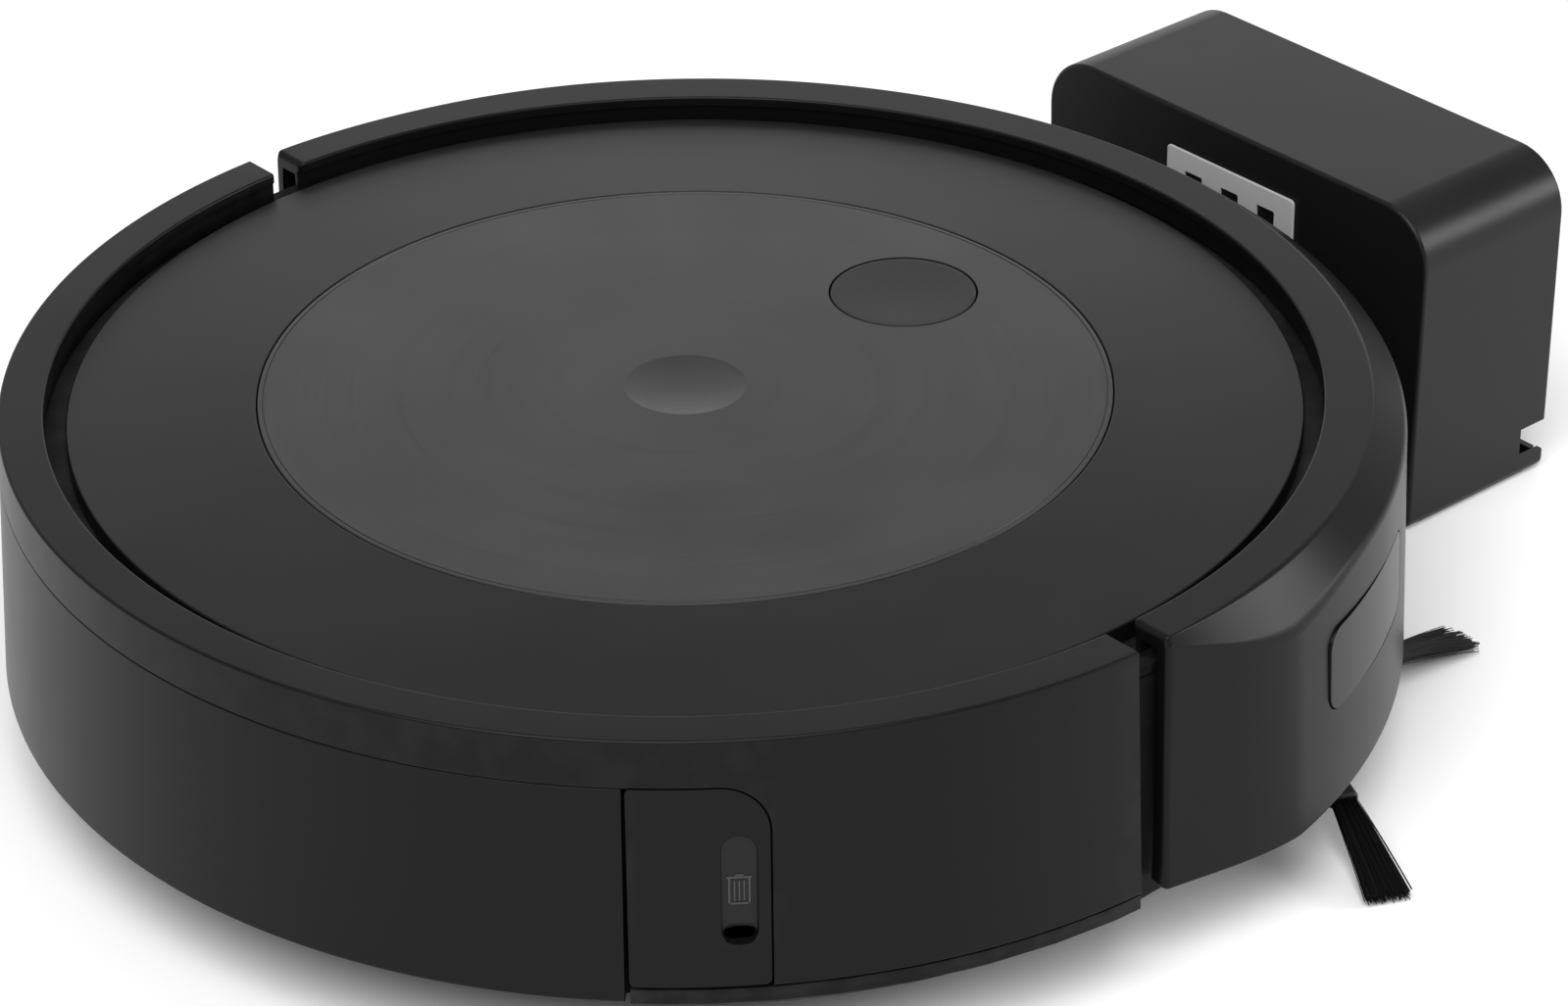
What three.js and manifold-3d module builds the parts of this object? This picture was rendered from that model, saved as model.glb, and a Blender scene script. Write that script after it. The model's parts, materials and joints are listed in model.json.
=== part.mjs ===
// Round robot vacuum standing on its charging dock. Millimetres, +Z up, +Y is the robot's nose.
import * as THREE from 'three';
import { mergeVertices } from 'three/addons/utils/BufferGeometryUtils.js';
import Module from 'manifold-3d';

const wasm = await Module();
wasm.setup();

// ---- driving dimensions ----
const segments = 64;              // sides of the big circles
const gap = 0.3;                  // between pieces that touch on the real machine

const robotHeight = 87;           // floor to the top of the rim
const rimRadius = 162.6;          // outer edge of the rim's flat top
const rimWidth = 10.6;
const wallFlare = 3.1;            // how much wider the wall is at its foot
const wallThickness = 2.5;
const wallFoot = 24.9;            // height of the rear wall's lower edge
const skirtFoot = 21;             // height of the bumper's lower edge
const lipDepth = 8.2;             // how far the rim's inner lip reaches down

const discRadius = 101.8;         // brushed centre disc
const discDrop = 2.5;             // disc below the rim
const lidRadius = 147.1;
const lidFall = 1.6;              // cone of the lid from the disc to its edge
const lidSkirt = 2.2;
const dimpleRadius = 14.65;
const dimpleDepth = 2;
const buttonRadius = 18;
const buttonY = 70.3;
const buttonClearance = 0.4;
const buttonTravel = 0.8;

const underside = 12.5;           // height of the flat underside
const floorThickness = 3;
const floorInset = 14.6;          // flat underside, inside the rim's outer edge
const tubInset = 4.6;             // wall of the tub inside the bumper, from the rim's outer edge
const tubThickness = 2.4;
const deckThickness = 2.2;

const seamRear = -8.5;            // where the rear cover ends at the bumper gap
const seamFront = 0;              // where the bumper ends
const bumperTravel = 3;
const bulge = 9.3;                // the bumper's wall stands out this much at the nose
const bulgeAngle = 13;            // and reaches that within this many degrees of the gap
const shoulderWidth = 6.2;
const shoulderFall = 4.6;
const bumperClearance = 1.5;      // left between rim and lid when the bumper is pushed right in

const binAngle = 55.9;            // half angle of the dust bin's opening, from the rear
const latchAngle = 44.8;          // where the release panel starts
const binTop = 75.1;
const binSide = 111;              // half width of the bin's box
const binGap = 4;                 // between the cleaning head and the bin
const binWall = 2;

const wheelRadius = 36;
const wheelWidth = 18;
const wheelX = 125;
const wheelY = -2;
const tyreThickness = 6;
const wheelRoom = 2;              // round each tyre
const armX = 109;
const armWidth = 9;
const pivotY = 50;
const pivotZ = 40;

const headHalf = 92;              // half width of the cleaning head
const headMargin = 6.6;           // from each roller to the end of the head
const rollerRadius = 12.4;
const rollerLift = 2.2;           // rollers above the floor
const rollerFrontY = -30;
const rollerSpace = 2.2;          // between the two rollers
const axleRoom = 3.3;              // half width of the slots that the roller ends turn in
const rollerHalf = 82;

const casterY = 118;
const casterTrail = 6;
const casterRadius = 10;
const casterWidth = 14;
const casterWell = 22;

const brushX = 119.2;
const brushY = 86.3;
const brushReach = 68.4;
const brushHeading = 115.5;
const holderReach = 38;
const holderZ = 8;
const holderThickness = 3.4;

const batteryHalf = 68;
const batteryY = [27, 74];
const contactX = 30;
const contactY = 135;

const dockWidth = 136.5;
const dockHeight = 89.8;
const dockStandOff = 11.8;        // dock's front face from the robot's nose
const dockDepth = 51.6;
const dockDraft = 1.6;            // each side leans in by this much towards the floor
const dockCorner = 15;
const dockWall = 2.4;
const dockBaseThickness = 2.9;
const tongueHalf = 47;
const tongueFront = 92;
const tongueThickness = 4.6;
const markerWidth = 45.6;
const markerTop = 78.9;
const markerHeight = 24;

// ---- sizes that follow ----
const rimInner = rimRadius - rimWidth;
const bumperInner = lidRadius + bumperTravel + bumperClearance;
const discTop = robotHeight - discDrop;
const lidEdgeTop = discTop - lidFall;
const lipFoot = robotHeight - lipDepth;
const deckTop = lipFoot - 0.6;
const deckBottom = deckTop - deckThickness;
const floorTop = underside + floorThickness;
const floorRadius = rimRadius - floorInset;
const tubRadius = rimRadius - tubInset;
const beyond = rimRadius + 40;    // clear of every wall
const noseReach = rimRadius + 1.4 + bulge;
const rollerZ = rollerRadius + rollerLift;
const rollerRearY = rollerFrontY - 2 * rollerRadius - rollerSpace;
const headFront = rollerFrontY + rollerRadius + headMargin;
const headRear = rollerRearY - rollerRadius - headMargin;
const binFront = headRear - binGap;
const wheelHubRadius = wheelRadius - tyreThickness;
const dockFront = noseReach + dockStandOff;
const dockBack = dockFront + dockDepth;
const wallRadius = (z) => rimRadius + 0.1 + wallFlare * (robotHeight - z) / (robotHeight - skirtFoot);

// ---- small geometry tools ----
const rad = THREE.MathUtils.degToRad;
const xy = (x, y) => new THREE.Vector2(x, y);
const fromNose = (r, deg) => xy(r * Math.sin(rad(deg)), r * Math.cos(rad(deg)));
const fromRear = (r, deg) => xy(r * Math.sin(rad(deg)), -r * Math.cos(rad(deg)));

function solid(geometry) {
  let g = geometry.index ? geometry.toNonIndexed() : geometry;
  g = new THREE.BufferGeometry().setAttribute('position', g.getAttribute('position'));
  g = mergeVertices(g, 1e-4);
  const triangles = [];
  const index = g.index.array;
  for (let i = 0; i < index.length; i += 3) {
    const [a, b, c] = [index[i], index[i + 1], index[i + 2]];
    if (a !== b && b !== c && c !== a) triangles.push(a, b, c);
  }
  const vertProperties = new Float32Array(g.getAttribute('position').array);
  const triVerts = new Uint32Array(triangles);
  return new wasm.Manifold(new wasm.Mesh({ numProp: 3, vertProperties, triVerts }));
}

function geometryOf(body) {
  const mesh = body.getMesh();
  const g = new THREE.BufferGeometry();
  g.setAttribute('position', new THREE.BufferAttribute(new Float32Array(mesh.vertProperties), 3));
  g.setIndex(new THREE.BufferAttribute(new Uint32Array(mesh.triVerts), 1));
  g.computeVertexNormals();
  return g;
}

const union = (list) => list.reduce((a, b) => a.add(b));
const cut = (body, list) => list.reduce((a, b) => a.subtract(b), body);

function block(x0, x1, y0, y1, z0, z1) {
  const g = new THREE.BoxGeometry(x1 - x0, y1 - y0, z1 - z0);
  g.translate((x0 + x1) / 2, (y0 + y1) / 2, (z0 + z1) / 2);
  return solid(g);
}

function rod(radius, z0, z1, x = 0, y = 0, sides = 24) {
  const g = new THREE.CylinderGeometry(radius, radius, z1 - z0, sides);
  g.rotateX(Math.PI / 2);
  g.translate(x, y, (z0 + z1) / 2);
  return solid(g);
}

function crossRod(radius, x0, x1, y, z, sides = 24) {
  const g = new THREE.CylinderGeometry(radius, radius, x1 - x0, sides);
  g.rotateZ(Math.PI / 2);
  g.translate((x0 + x1) / 2, y, z);
  return solid(g);
}

// Turns a closed profile of [radius, height] points about the Z axis.
function turned(profile, sides = segments) {
  const loop = profile.map(([r, z]) => xy(r, z));
  if (THREE.ShapeUtils.area(loop) < 0) loop.reverse();
  loop.push(loop[0].clone());
  const g = new THREE.LatheGeometry(loop, sides);
  g.rotateX(Math.PI / 2);
  return solid(g);
}

function prism(points, z0, z1) {
  const shape = Array.isArray(points) ? new THREE.Shape(points) : points;
  const g = new THREE.ExtrudeGeometry(shape, { depth: z1 - z0, bevelEnabled: false, curveSegments: 5 });
  g.translate(0, 0, z0);
  return solid(g);
}

// Pie slice between two angles measured from the rear.
function slice(from, to, radius, z0, z1) {
  const points = [xy(0, 0)];
  const steps = Math.ceil((to - from) / 5);
  for (let i = 0; i <= steps; i++) points.push(fromRear(radius, from + (to - from) * i / steps));
  return prism(points, z0, z1);
}

function roundedRect(width, height, r, x = 0, y = 0) {
  const corners = Array.isArray(r) ? r : [r, r, r, r];
  const [x0, x1, y0, y1] = [x - width / 2, x + width / 2, y - height / 2, y + height / 2];
  const [bl, br, tr, tl] = corners;
  const s = new THREE.Shape();
  s.moveTo(x0 + bl, y0);
  s.lineTo(x1 - br, y0);
  if (br) s.absarc(x1 - br, y0 + br, br, -Math.PI / 2, 0, false);
  s.lineTo(x1, y1 - tr);
  if (tr) s.absarc(x1 - tr, y1 - tr, tr, 0, Math.PI / 2, false);
  s.lineTo(x0 + tl, y1);
  if (tl) s.absarc(x0 + tl, y1 - tl, tl, Math.PI / 2, Math.PI, false);
  s.lineTo(x0, y0 + bl);
  if (bl) s.absarc(x0 + bl, y0 + bl, bl, Math.PI, Math.PI * 1.5, false);
  return s;
}

// Pushes an upright outline (across, height) outwards along a heading from the nose.
function radialPrism(shape, heading, r0, r1) {
  const g = new THREE.ExtrudeGeometry(shape, { depth: r1 - r0, bevelEnabled: false, curveSegments: 4 });
  g.rotateX(Math.PI / 2);
  g.rotateZ(Math.PI);
  g.translate(0, r0, 0);
  g.rotateZ(-rad(heading));
  return solid(g);
}

// Joins equal closed sections, given in order, into one body with flat ends. Flat is the section laid flat.
function lofted(sections, flat) {
  if (THREE.ShapeUtils.area(flat) < 0) {
    return lofted(sections.map((s) => [...s].reverse()), [...flat].reverse());
  }
  const faces = [];
  for (let i = 0; i + 1 < sections.length; i++) {
    const [near, far] = [sections[i], sections[i + 1]];
    for (let j = 0; j < near.length; j++) {
      const k = (j + 1) % near.length;
      faces.push([near[j], near[k], far[k]], [near[j], far[k], far[j]]);
    }
  }
  const first = sections[0];
  const last = sections[sections.length - 1];
  for (const [a, b, c] of THREE.ShapeUtils.triangulateShape(flat, [])) {
    faces.push([first[a], first[c], first[b]], [last[a], last[b], last[c]]);
  }
  const build = (list) => solid(new THREE.BufferGeometry().setFromPoints(list.flat()));
  const body = build(faces);
  return body.volume() > 0 ? body : build(faces.map((f) => [...f].reverse()));
}

const all = new THREE.Group();

function piece(name, body, colour, roughness = 0.5, metalness = 0) {
  const material = new THREE.MeshStandardMaterial({ color: colour, roughness, metalness });
  const mesh = new THREE.Mesh(geometryOf(body), material);
  mesh.name = name;
  all.add(mesh);
}

const black = 0x1d1d1f;
const satin = 0x3a3a3c;
const brushed = 0x4c4c4e;
const innerBlack = 0x151516;
const rubber = 0x101010;
const green = 0x2f5d3a;
const steel = 0xb9bbbd;
const gloss = 0x0c0c0e;

// ---- rear cover: rim, wall and the ends beside the bumper gap ----
const rearHalf = block(-beyond, beyond, -beyond, seamRear, 0, 120);

function rearWallProfile(foot) {
  const inset = (z) => wallRadius(z) - wallThickness;
  return [
    [rimInner, robotHeight - 0.5], [rimInner + 0.5, robotHeight], [rimRadius - 0.5, robotHeight],
    [rimRadius + 0.1, robotHeight - 0.6], [wallRadius(foot), foot], [inset(foot), foot],
    [inset(robotHeight - 4), robotHeight - 4], [rimInner + wallThickness, robotHeight - 4],
    [rimInner + wallThickness, lipFoot], [rimInner, lipFoot],
  ];
}

function rearCover() {
  const wall = turned(rearWallProfile(wallFoot)).intersect(rearHalf);
  const inner = tubRadius + 0.6;
  const closed = turned([
    [inner, wallFoot], [wallRadius(wallFoot) - 0.4, wallFoot],
    [rimRadius - 0.3, robotHeight - 0.8], [inner, robotHeight - 0.8],
  ]);
  const ends = closed.intersect(block(-beyond, beyond, seamRear - 2.4, seamRear, 0, 120));
  const binOpening = slice(-binAngle - gap, binAngle + gap, beyond, 0, binTop + gap);
  return cut(wall.add(ends), [binOpening]);
}
piece('rear_cover', rearCover(), black, 0.45);

// ---- base frame: floor, rear skirt, front tub, wheel wells and posts ----
const postSpots = [39.4, -39.4, 109.5, -109.5].map((deg) => fromNose(floorRadius - 3, deg));
const cliffSpots = [32, -32, 68, -68].map((deg) => fromNose(floorRadius - 6, deg));
const cliffSize = [12, 8];

function baseFrame() {
  const rearPan = turned([
    [0, underside], [floorRadius, underside], [tubRadius + 0.4, 15.4],
    [wallRadius(skirtFoot) - 0.2, skirtFoot],
    [wallRadius(wallFoot) - 0.1, wallFoot - 0.4], [wallRadius(wallFoot) - wallThickness, wallFoot - 0.4],
    [tubRadius - 1, floorTop + 2], [floorRadius + 2, floorTop], [0, floorTop],
  ]).intersect(rearHalf);
  const tubTop = deckBottom - gap;
  const frontPan = turned([
    [0, underside], [floorRadius, underside], [tubRadius - 2, 14.6], [tubRadius, 17], [tubRadius, tubTop],
    [tubRadius - tubThickness, tubTop], [tubRadius - tubThickness, floorTop + 2],
    [floorRadius + 2, floorTop], [0, floorTop],
  ]).intersect(block(-beyond, beyond, seamRear - 5.5, beyond, 0, 120));
  const parts = [rearPan, frontPan];
  for (const { x, y } of postSpots) parts.push(rod(4, floorTop - 1, tubTop, x, y, 10));
  for (const side of [-1, 1]) {
    for (const x of [armX - armWidth / 2 - 3.3, armX + armWidth / 2 + 0.9]) {
      const [a, b] = side > 0 ? [x, x + 2.4] : [-x - 2.4, -x];
      parts.push(block(a, b, pivotY - 6, pivotY + 6, floorTop - 1, pivotZ + 6));
    }
  }
  const cupTop = 43;
  parts.push(cut(rod(casterWell + 2, floorTop - 1, cupTop, 0, casterY, 24), [
    rod(casterWell, 0, cupTop - 2.5, 0, casterY, 24),
  ]));
  const cuts = [];
  for (const side of [-1, 1]) {
    const [a, b] = side > 0 ? [wheelX - 24, wheelX + 12] : [-wheelX - 12, 24 - wheelX];
    cuts.push(block(a, b, wheelY - wheelRadius - 3, pivotY - 7, 0, floorTop + 3));
    cuts.push(crossRod(4.4, side > 0 ? 95 : -125, side > 0 ? 125 : -95, pivotY, pivotZ, 14));
    cuts.push(block(side * contactX - 6.3, side * contactX + 6.3, contactY - 4.3, contactY + 4.3, 0, 20));
  }
  for (const { x, y } of cliffSpots) {
    cuts.push(block(x - cliffSize[0] / 2 - gap, x + cliffSize[0] / 2 + gap,
      y - cliffSize[1] / 2 - gap, y + cliffSize[1] / 2 + gap, 0, 20));
  }
  cuts.push(block(-headHalf - 2, headHalf + 2, headRear - 0.8, headFront + 0.8, 0, 20));
  cuts.push(block(-batteryHalf - 6, batteryHalf + 6, batteryY[0] - 5, batteryY[1] + 5, 0, 20));
  cuts.push(rod(casterWell, 0, floorTop + 1, 0, casterY, 24));
  cuts.push(rod(6.5, 0, 60, 0, casterY, 20));
  cuts.push(rod(5, 0, 20, brushX, brushY, 20));
  cuts.push(block(-binSide - 8, binSide + 1.5, -beyond, binFront + 0.6, 0, 20));
  cuts.push(slice(-binAngle - 0.2, latchAngle + 0.2, beyond, 0, 60)
    .intersect(block(-beyond, beyond, -beyond, binFront, 0, 60)));
  return cut(union(parts), cuts);
}
piece('base_frame', baseFrame(), innerBlack, 0.6);

for (const [i, { x, y }] of postSpots.entries()) {
  const head = rod(3.2, underside - 1.4, underside - gap, x, y, 16);
  const slot = block(x - 2.2, x + 2.2, y - 0.4, y + 0.4, 0, underside - 0.9);
  piece(`base_screw_${i + 1}`, cut(head, [slot]), steel, 0.35, 0.9);
}

// ---- top deck, lid and disc ----
const tyreRoom = [-wheelX, wheelX].map((x) => crossRod(wheelRadius + wheelRoom,
  x - wheelWidth / 2 - wheelRoom, x + wheelWidth / 2 + wheelRoom, wheelY, wheelRadius));
const deckRadius = tubRadius - 0.4;
const deck = turned([[0, deckBottom], [deckRadius, deckBottom], [deckRadius, deckTop], [0, deckTop]]);
piece('top_deck', cut(deck, tyreRoom), innerBlack, 0.6);

function lidRing() {
  const inner = discRadius + 0.45;
  const foot = deckTop + gap;
  return turned([
    [inner, discTop - 0.05], [lidRadius - 0.5, lidEdgeTop], [lidRadius, lidEdgeTop - 0.5], [lidRadius, foot],
    [lidRadius - lidSkirt, foot], [lidRadius - lidSkirt, lidEdgeTop - 2.2], [inner + lidSkirt, discTop - 2.3],
    [inner + lidSkirt, foot], [inner, foot],
  ]);
}
piece('lid_ring', cut(lidRing(), tyreRoom), satin, 0.4);

function lidDisc() {
  const bowlRadius = (dimpleRadius ** 2 + dimpleDepth ** 2) / (2 * dimpleDepth);
  const profile = [];
  for (let i = 0; i <= 3; i++) {
    const r = dimpleRadius * i / 3;
    profile.push([r, discTop - dimpleDepth + bowlRadius - Math.sqrt(bowlRadius ** 2 - r ** 2)]);
  }
  const foot = deckTop + gap;
  profile.push([discRadius - 0.5, discTop], [discRadius, discTop - 0.5], [discRadius, foot],
    [discRadius - lidSkirt, foot], [discRadius - lidSkirt, discTop - 2.2],
    [dimpleRadius + 5, discTop - 2.2], [dimpleRadius + 2, discTop - dimpleDepth - 2],
    [0, discTop - dimpleDepth - 2]);
  return cut(turned(profile), [rod(buttonRadius + buttonClearance, 0, 200, 0, buttonY, 32)]);
}
piece('lid_disc', lidDisc(), brushed, 0.3, 0.35);

const boardTop = deckTop + gap + 1.4;
const buttonFoot = boardTop + buttonTravel + 0.4;
piece('clean_button', rod(buttonRadius, buttonFoot, discTop - 0.1, 0, buttonY, 32), black, 0.4);
piece('button_board', block(-22, 22, buttonY - 15, buttonY + 15, deckTop + gap, boardTop), green, 0.5);

// ---- bumper: rim, shoulder and wall, lofted round the nose ----
function bumperSection(heading) {
  const t = Math.min(1, (90 - Math.abs(heading)) / bulgeAngle);
  const rim = rimRadius - 0.5 + 2.2 * Math.min(1, (90 - Math.abs(heading)) / 30);
  const edge = rim + 0.8 + (shoulderWidth + 0.1) * t;
  const edgeZ = robotHeight - 1.1 - (shoulderFall + 0.6) * t;
  const foot = rimRadius + 1.4 + bulge * t;
  return [
    [bumperInner, robotHeight - 0.5], [bumperInner + 0.5, robotHeight], [rim, robotHeight],
    [rim + 0.3, robotHeight - 0.15], [edge - 0.3 - 0.3 * t, edgeZ + 0.6 + t], [edge, edgeZ],
    [foot, skirtFoot], [foot - wallThickness, skirtFoot], [edge - wallThickness, edgeZ - 3],
    [rim - 2.5, robotHeight - 3.8], [bumperInner + 2.8, robotHeight - 3.8],
    [bumperInner + 2.8, lipFoot + 0.8], [bumperInner, lipFoot + 0.8],
  ];
}

const noseEdge = bumperSection(0)[5];
const noseFoot = bumperSection(0)[6];
const noseSlope = (noseFoot[0] - noseEdge[0]) / (noseEdge[1] - skirtFoot);
const noseRadius = (z) => noseEdge[0] + noseSlope * (noseEdge[1] - z);
const windows = [
  { name: 'side_window_right', heading: 63.4, width: 54, height: 21.4, z: 56.6, corner: 5 },
  { name: 'side_window_left', heading: -63.4, width: 54, height: 21.4, z: 56.6, corner: 5 },
  { name: 'front_window', heading: 0, width: 62, height: 26, z: 57, corner: 12.9 },
];

function windowOutline({ width, height, corner, z }, grow = 0) {
  return roundedRect(width + 2 * grow, height + 2 * grow, corner, 0, z);
}

function windowPane(spec) {
  const shell = turned([
    [noseRadius(80) - 2, 80], [noseRadius(80), 80], [noseRadius(30), 30], [noseRadius(30) - 2, 30],
  ]);
  return shell.intersect(radialPrism(windowOutline(spec), spec.heading, tubRadius, beyond));
}

function bumper() {
  const sections = [];
  const steps = 40;
  for (let i = 0; i <= steps; i++) {
    const heading = -90 + 180 * i / steps;
    sections.push(bumperSection(heading).map(([r, z]) => {
      const p = fromNose(r, heading);
      return new THREE.Vector3(p.x, p.y, z);
    }));
  }
  const shell = lofted(sections, bumperSection(90).map(([r, z]) => xy(r, z)));
  const ends = [];
  for (const side of [-1, 1]) {
    const [a, b] = side > 0 ? [tubRadius + 1, rimRadius + 0.6] : [-rimRadius - 0.6, -tubRadius - 1];
    ends.push(block(a, b, seamFront + 0.3, seamFront + 2.6, skirtFoot + 0.4, robotHeight - 2));
  }
  const holes = windows.map((w) => radialPrism(windowOutline(w, 0.35), w.heading, tubRadius, beyond));
  return cut(union([shell, ...ends]), holes);
}
piece('bumper', bumper(), black, 0.4);
for (const spec of windows) piece(spec.name, windowPane(spec), gloss, 0.25);

piece('camera_module', block(-13, 13, tubRadius + gap, tubRadius + 8, 48, 66), innerBlack, 0.5);

function bumperSpring(heading) {
  class Coil extends THREE.Curve {
    getPoint(t) {
      const a = t * Math.PI * 2 * 3;
      return new THREE.Vector3(3.4 * Math.cos(a), t * 6.4, 3.4 * Math.sin(a));
    }
  }
  const wire = new THREE.Shape();
  wire.absarc(0, 0, 0.5, 0, Math.PI * 2);
  const g = new THREE.ExtrudeGeometry(wire, { steps: 27, extrudePath: new Coil(), curveSegments: 2 });
  g.translate(0, tubRadius + 1, 40);
  g.rotateZ(-rad(heading));
  return solid(g);
}
piece('bumper_spring_left', bumperSpring(-32), steel, 0.3, 0.9);
piece('bumper_spring_right', bumperSpring(32), steel, 0.3, 0.9);

// ---- dust bin with its filter, release panel and hinge pin ----
const pinSpot = fromRear(wallRadius(50) - 6.8, latchAngle + 2.2);
const pinRadius = 1.2;
const gripAngle = 53.4;
const grip = { width: 8.2, height: 27.4, z: 49.6, corner: 4.05, depth: 1.1 };
const gripPocket = { width: 7.2, height: 4.2, z: 38.4, corner: 2, depth: 1.8 };

function binShell() {
  const foot = skirtFoot + gap;
  const bellyFoot = underside + 2;
  const wall = turned([
    [wallRadius(foot) - 0.3, foot], [wallRadius(foot), foot + 0.5], [wallRadius(binTop), binTop],
    [wallRadius(binTop) - wallThickness, binTop], [wallRadius(foot) - wallThickness, foot],
  ]).intersect(slice(-binAngle, latchAngle - 0.2, beyond, 0, 120));
  const belly = turned([
    [0, bellyFoot], [floorRadius - 2, bellyFoot], [tubRadius - 2, 17.6], [wallRadius(foot) - 1.2, foot + 0.2],
    [wallRadius(binTop) - 1.2, binTop - 1], [0, binTop - 1],
  ]).intersect(block(-binSide - 7, binSide, -beyond, binFront, 0, 120));
  const room = turned([
    [0, bellyFoot + binWall], [floorRadius - 3, bellyFoot + binWall], [tubRadius, 24],
    [tubRadius, binTop - 1 - binWall], [0, binTop - 1 - binWall],
  ]).intersect(block(-binSide - 7 + binWall, binSide - binWall, -beyond, binFront - binWall, 0, 120));
  const inlet = block(-20, 70, binFront - 5, binFront + 5, 28, 42);
  const filterHole = block(-105 - gap, -35 + gap, binFront - 5, binFront + 5, 28 - gap, 66 + gap);
  const ears = [];
  for (const [z0, z1] of [[34, 37], [60, 63]]) {
    ears.push(block(binSide - 3, pinSpot.x + 2.2, pinSpot.y - 2.2, pinSpot.y + 6, z0, z1));
  }
  return cut(union([wall, belly, ...ears]), [room, inlet, filterHole,
    rod(pinRadius + 0.15, 20, 80, pinSpot.x, pinSpot.y, 16)]);
}
piece('dust_bin', binShell(), black, 0.45);
piece('bin_filter', block(-105, -35, binFront - 4, binFront - 0.1, 28, 66), 0xb0b0aa, 0.9);
piece('latch_pin', rod(pinRadius, 32, 65, pinSpot.x, pinSpot.y, 16), steel, 0.3, 0.9);

function binLatch() {
  const middle = (latchAngle + binAngle) / 2;
  const half = wallRadius(50) * rad(binAngle - latchAngle) / 2 - 0.35;
  const [z0, z1] = [wallFoot + 0.5, binTop];
  const outline = roundedRect(2 * half, z1 - z0, [1.5, 1.5, 11, 1.2], 0, (z0 + z1) / 2);
  const skin = turned([
    [wallRadius(20), 20], [wallRadius(90), 90], [wallRadius(90) - 2.4, 90], [wallRadius(20) - 2.4, 20],
  ]);
  const panel = skin.intersect(radialPrism(outline, 180 - middle, rimInner, beyond));
  const [pill, pocket] = [grip, gripPocket].map(({ width, height, z, corner, depth }) => radialPrism(
    roundedRect(width, height, corner, 0, z), 180 - gripAngle, wallRadius(50) - depth, beyond));
  const arm = fromRear(wallRadius(50) - 2, latchAngle + 2.2);
  const knuckle = rod(2.6, 37.6, 59.4, pinSpot.x, pinSpot.y, 16);
  const turn = rad(latchAngle + 2.2);
  const web = solid(new THREE.BoxGeometry(2.4, 5, 21.8).rotateZ(turn)
    .translate((arm.x + pinSpot.x) / 2, (arm.y + pinSpot.y) / 2, 48.5));
  return cut(union([cut(panel, [pill, pocket]), knuckle, web]),
    [rod(pinRadius + 0.3, 20, 80, pinSpot.x, pinSpot.y, 16)]);
}
piece('bin_latch', binLatch(), black, 0.45);

// ---- cleaning head: housing, two rollers and the hinged guard ----
const duct = [-20, 70, 28, 41];

function headHousing() {
  const outer = block(-headHalf, headHalf, headRear, headFront, underside + 0.3, 43);
  const inner = block(-headHalf + 3, headHalf - 3, headRear + 2.5, headFront - 2.5, 0, 40.5);
  const cuts = [inner, block(duct[0], duct[1], headRear - 5, headRear + 5, duct[2], duct[3])];
  for (const y of [rollerFrontY, rollerRearY]) {
    cuts.push(crossRod(axleRoom, -120, 120, y, rollerZ + 1.6, 16));
  }
  for (const y of [rollerFrontY, rollerRearY]) {
    cuts.push(block(-120, 120, y - axleRoom, y + axleRoom, 0, rollerZ + 1.6));
  }
  return cut(outer, cuts);
}
piece('head_housing', headHousing(), innerBlack, 0.6);

const core = rollerRadius - 2;
const ribOutline = [[core - 0.2, -22], [core, -7], [rollerRadius, -5], [rollerRadius, 5], [core, 7]];
function roller(y, phase) {
  const ribs = 6;
  const points = [];
  for (let i = 0; i < ribs; i++) {
    for (const [r, da] of ribOutline) {
      const a = rad(phase + i * 360 / ribs + da);
      points.push(xy(r * Math.cos(a), r * Math.sin(a)));
    }
  }
  const length = 2 * rollerHalf;
  const g = new THREE.ExtrudeGeometry(new THREE.Shape(points), { depth: length, bevelEnabled: false });
  g.translate(0, 0, -rollerHalf);
  g.rotateY(Math.PI / 2);
  g.translate(0, y, rollerZ);
  return union([solid(g), crossRod(2.6, -headHalf + 0.4, headHalf - 0.4, y, rollerZ, 16)]);
}
piece('front_roller', roller(rollerFrontY, 0), 0x27402c, 0.7);
piece('rear_roller', roller(rollerRearY, 30), 0x27402c, 0.7);

function rollerGuard() {
  const frame = block(-headHalf + 0.4, headHalf - 0.4, headRear + 0.4, headFront - 0.4, 7.4, underside - 0.2);
  const room = rollerRadius + 1.2;
  const inner = block(-rollerHalf - 2, rollerHalf + 2, rollerRearY - room, rollerFrontY + room, 0, 20);
  const axles = [rollerFrontY, rollerRearY].map((y) => block(-120, 120, y - 3.2, y + 3.2, rollerZ - 3.4, 20));
  return cut(frame, [inner, ...axles]);
}
piece('roller_guard', rollerGuard(), 0x2a2a2c, 0.5);
// the rollers' gearbox lies on the head, and its motor stands on it
const gearCase = { x: [30, 84], y: [-62, -26], z: [43, 52], motorX: 46, motorRadius: 13, motorTop: 73 };
function rollerMotor() {
  const { x, y, z, motorX, motorRadius, motorTop } = gearCase;
  const gearbox = block(...x, ...y, z[0] + gap, z[1]);
  const motor = rod(motorRadius, z[1] - 0.5, motorTop, motorX, (y[0] + y[1]) / 2, 32);
  return union([gearbox, motor]);
}
piece('roller_motor', rollerMotor(), innerBlack, 0.5);

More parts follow.
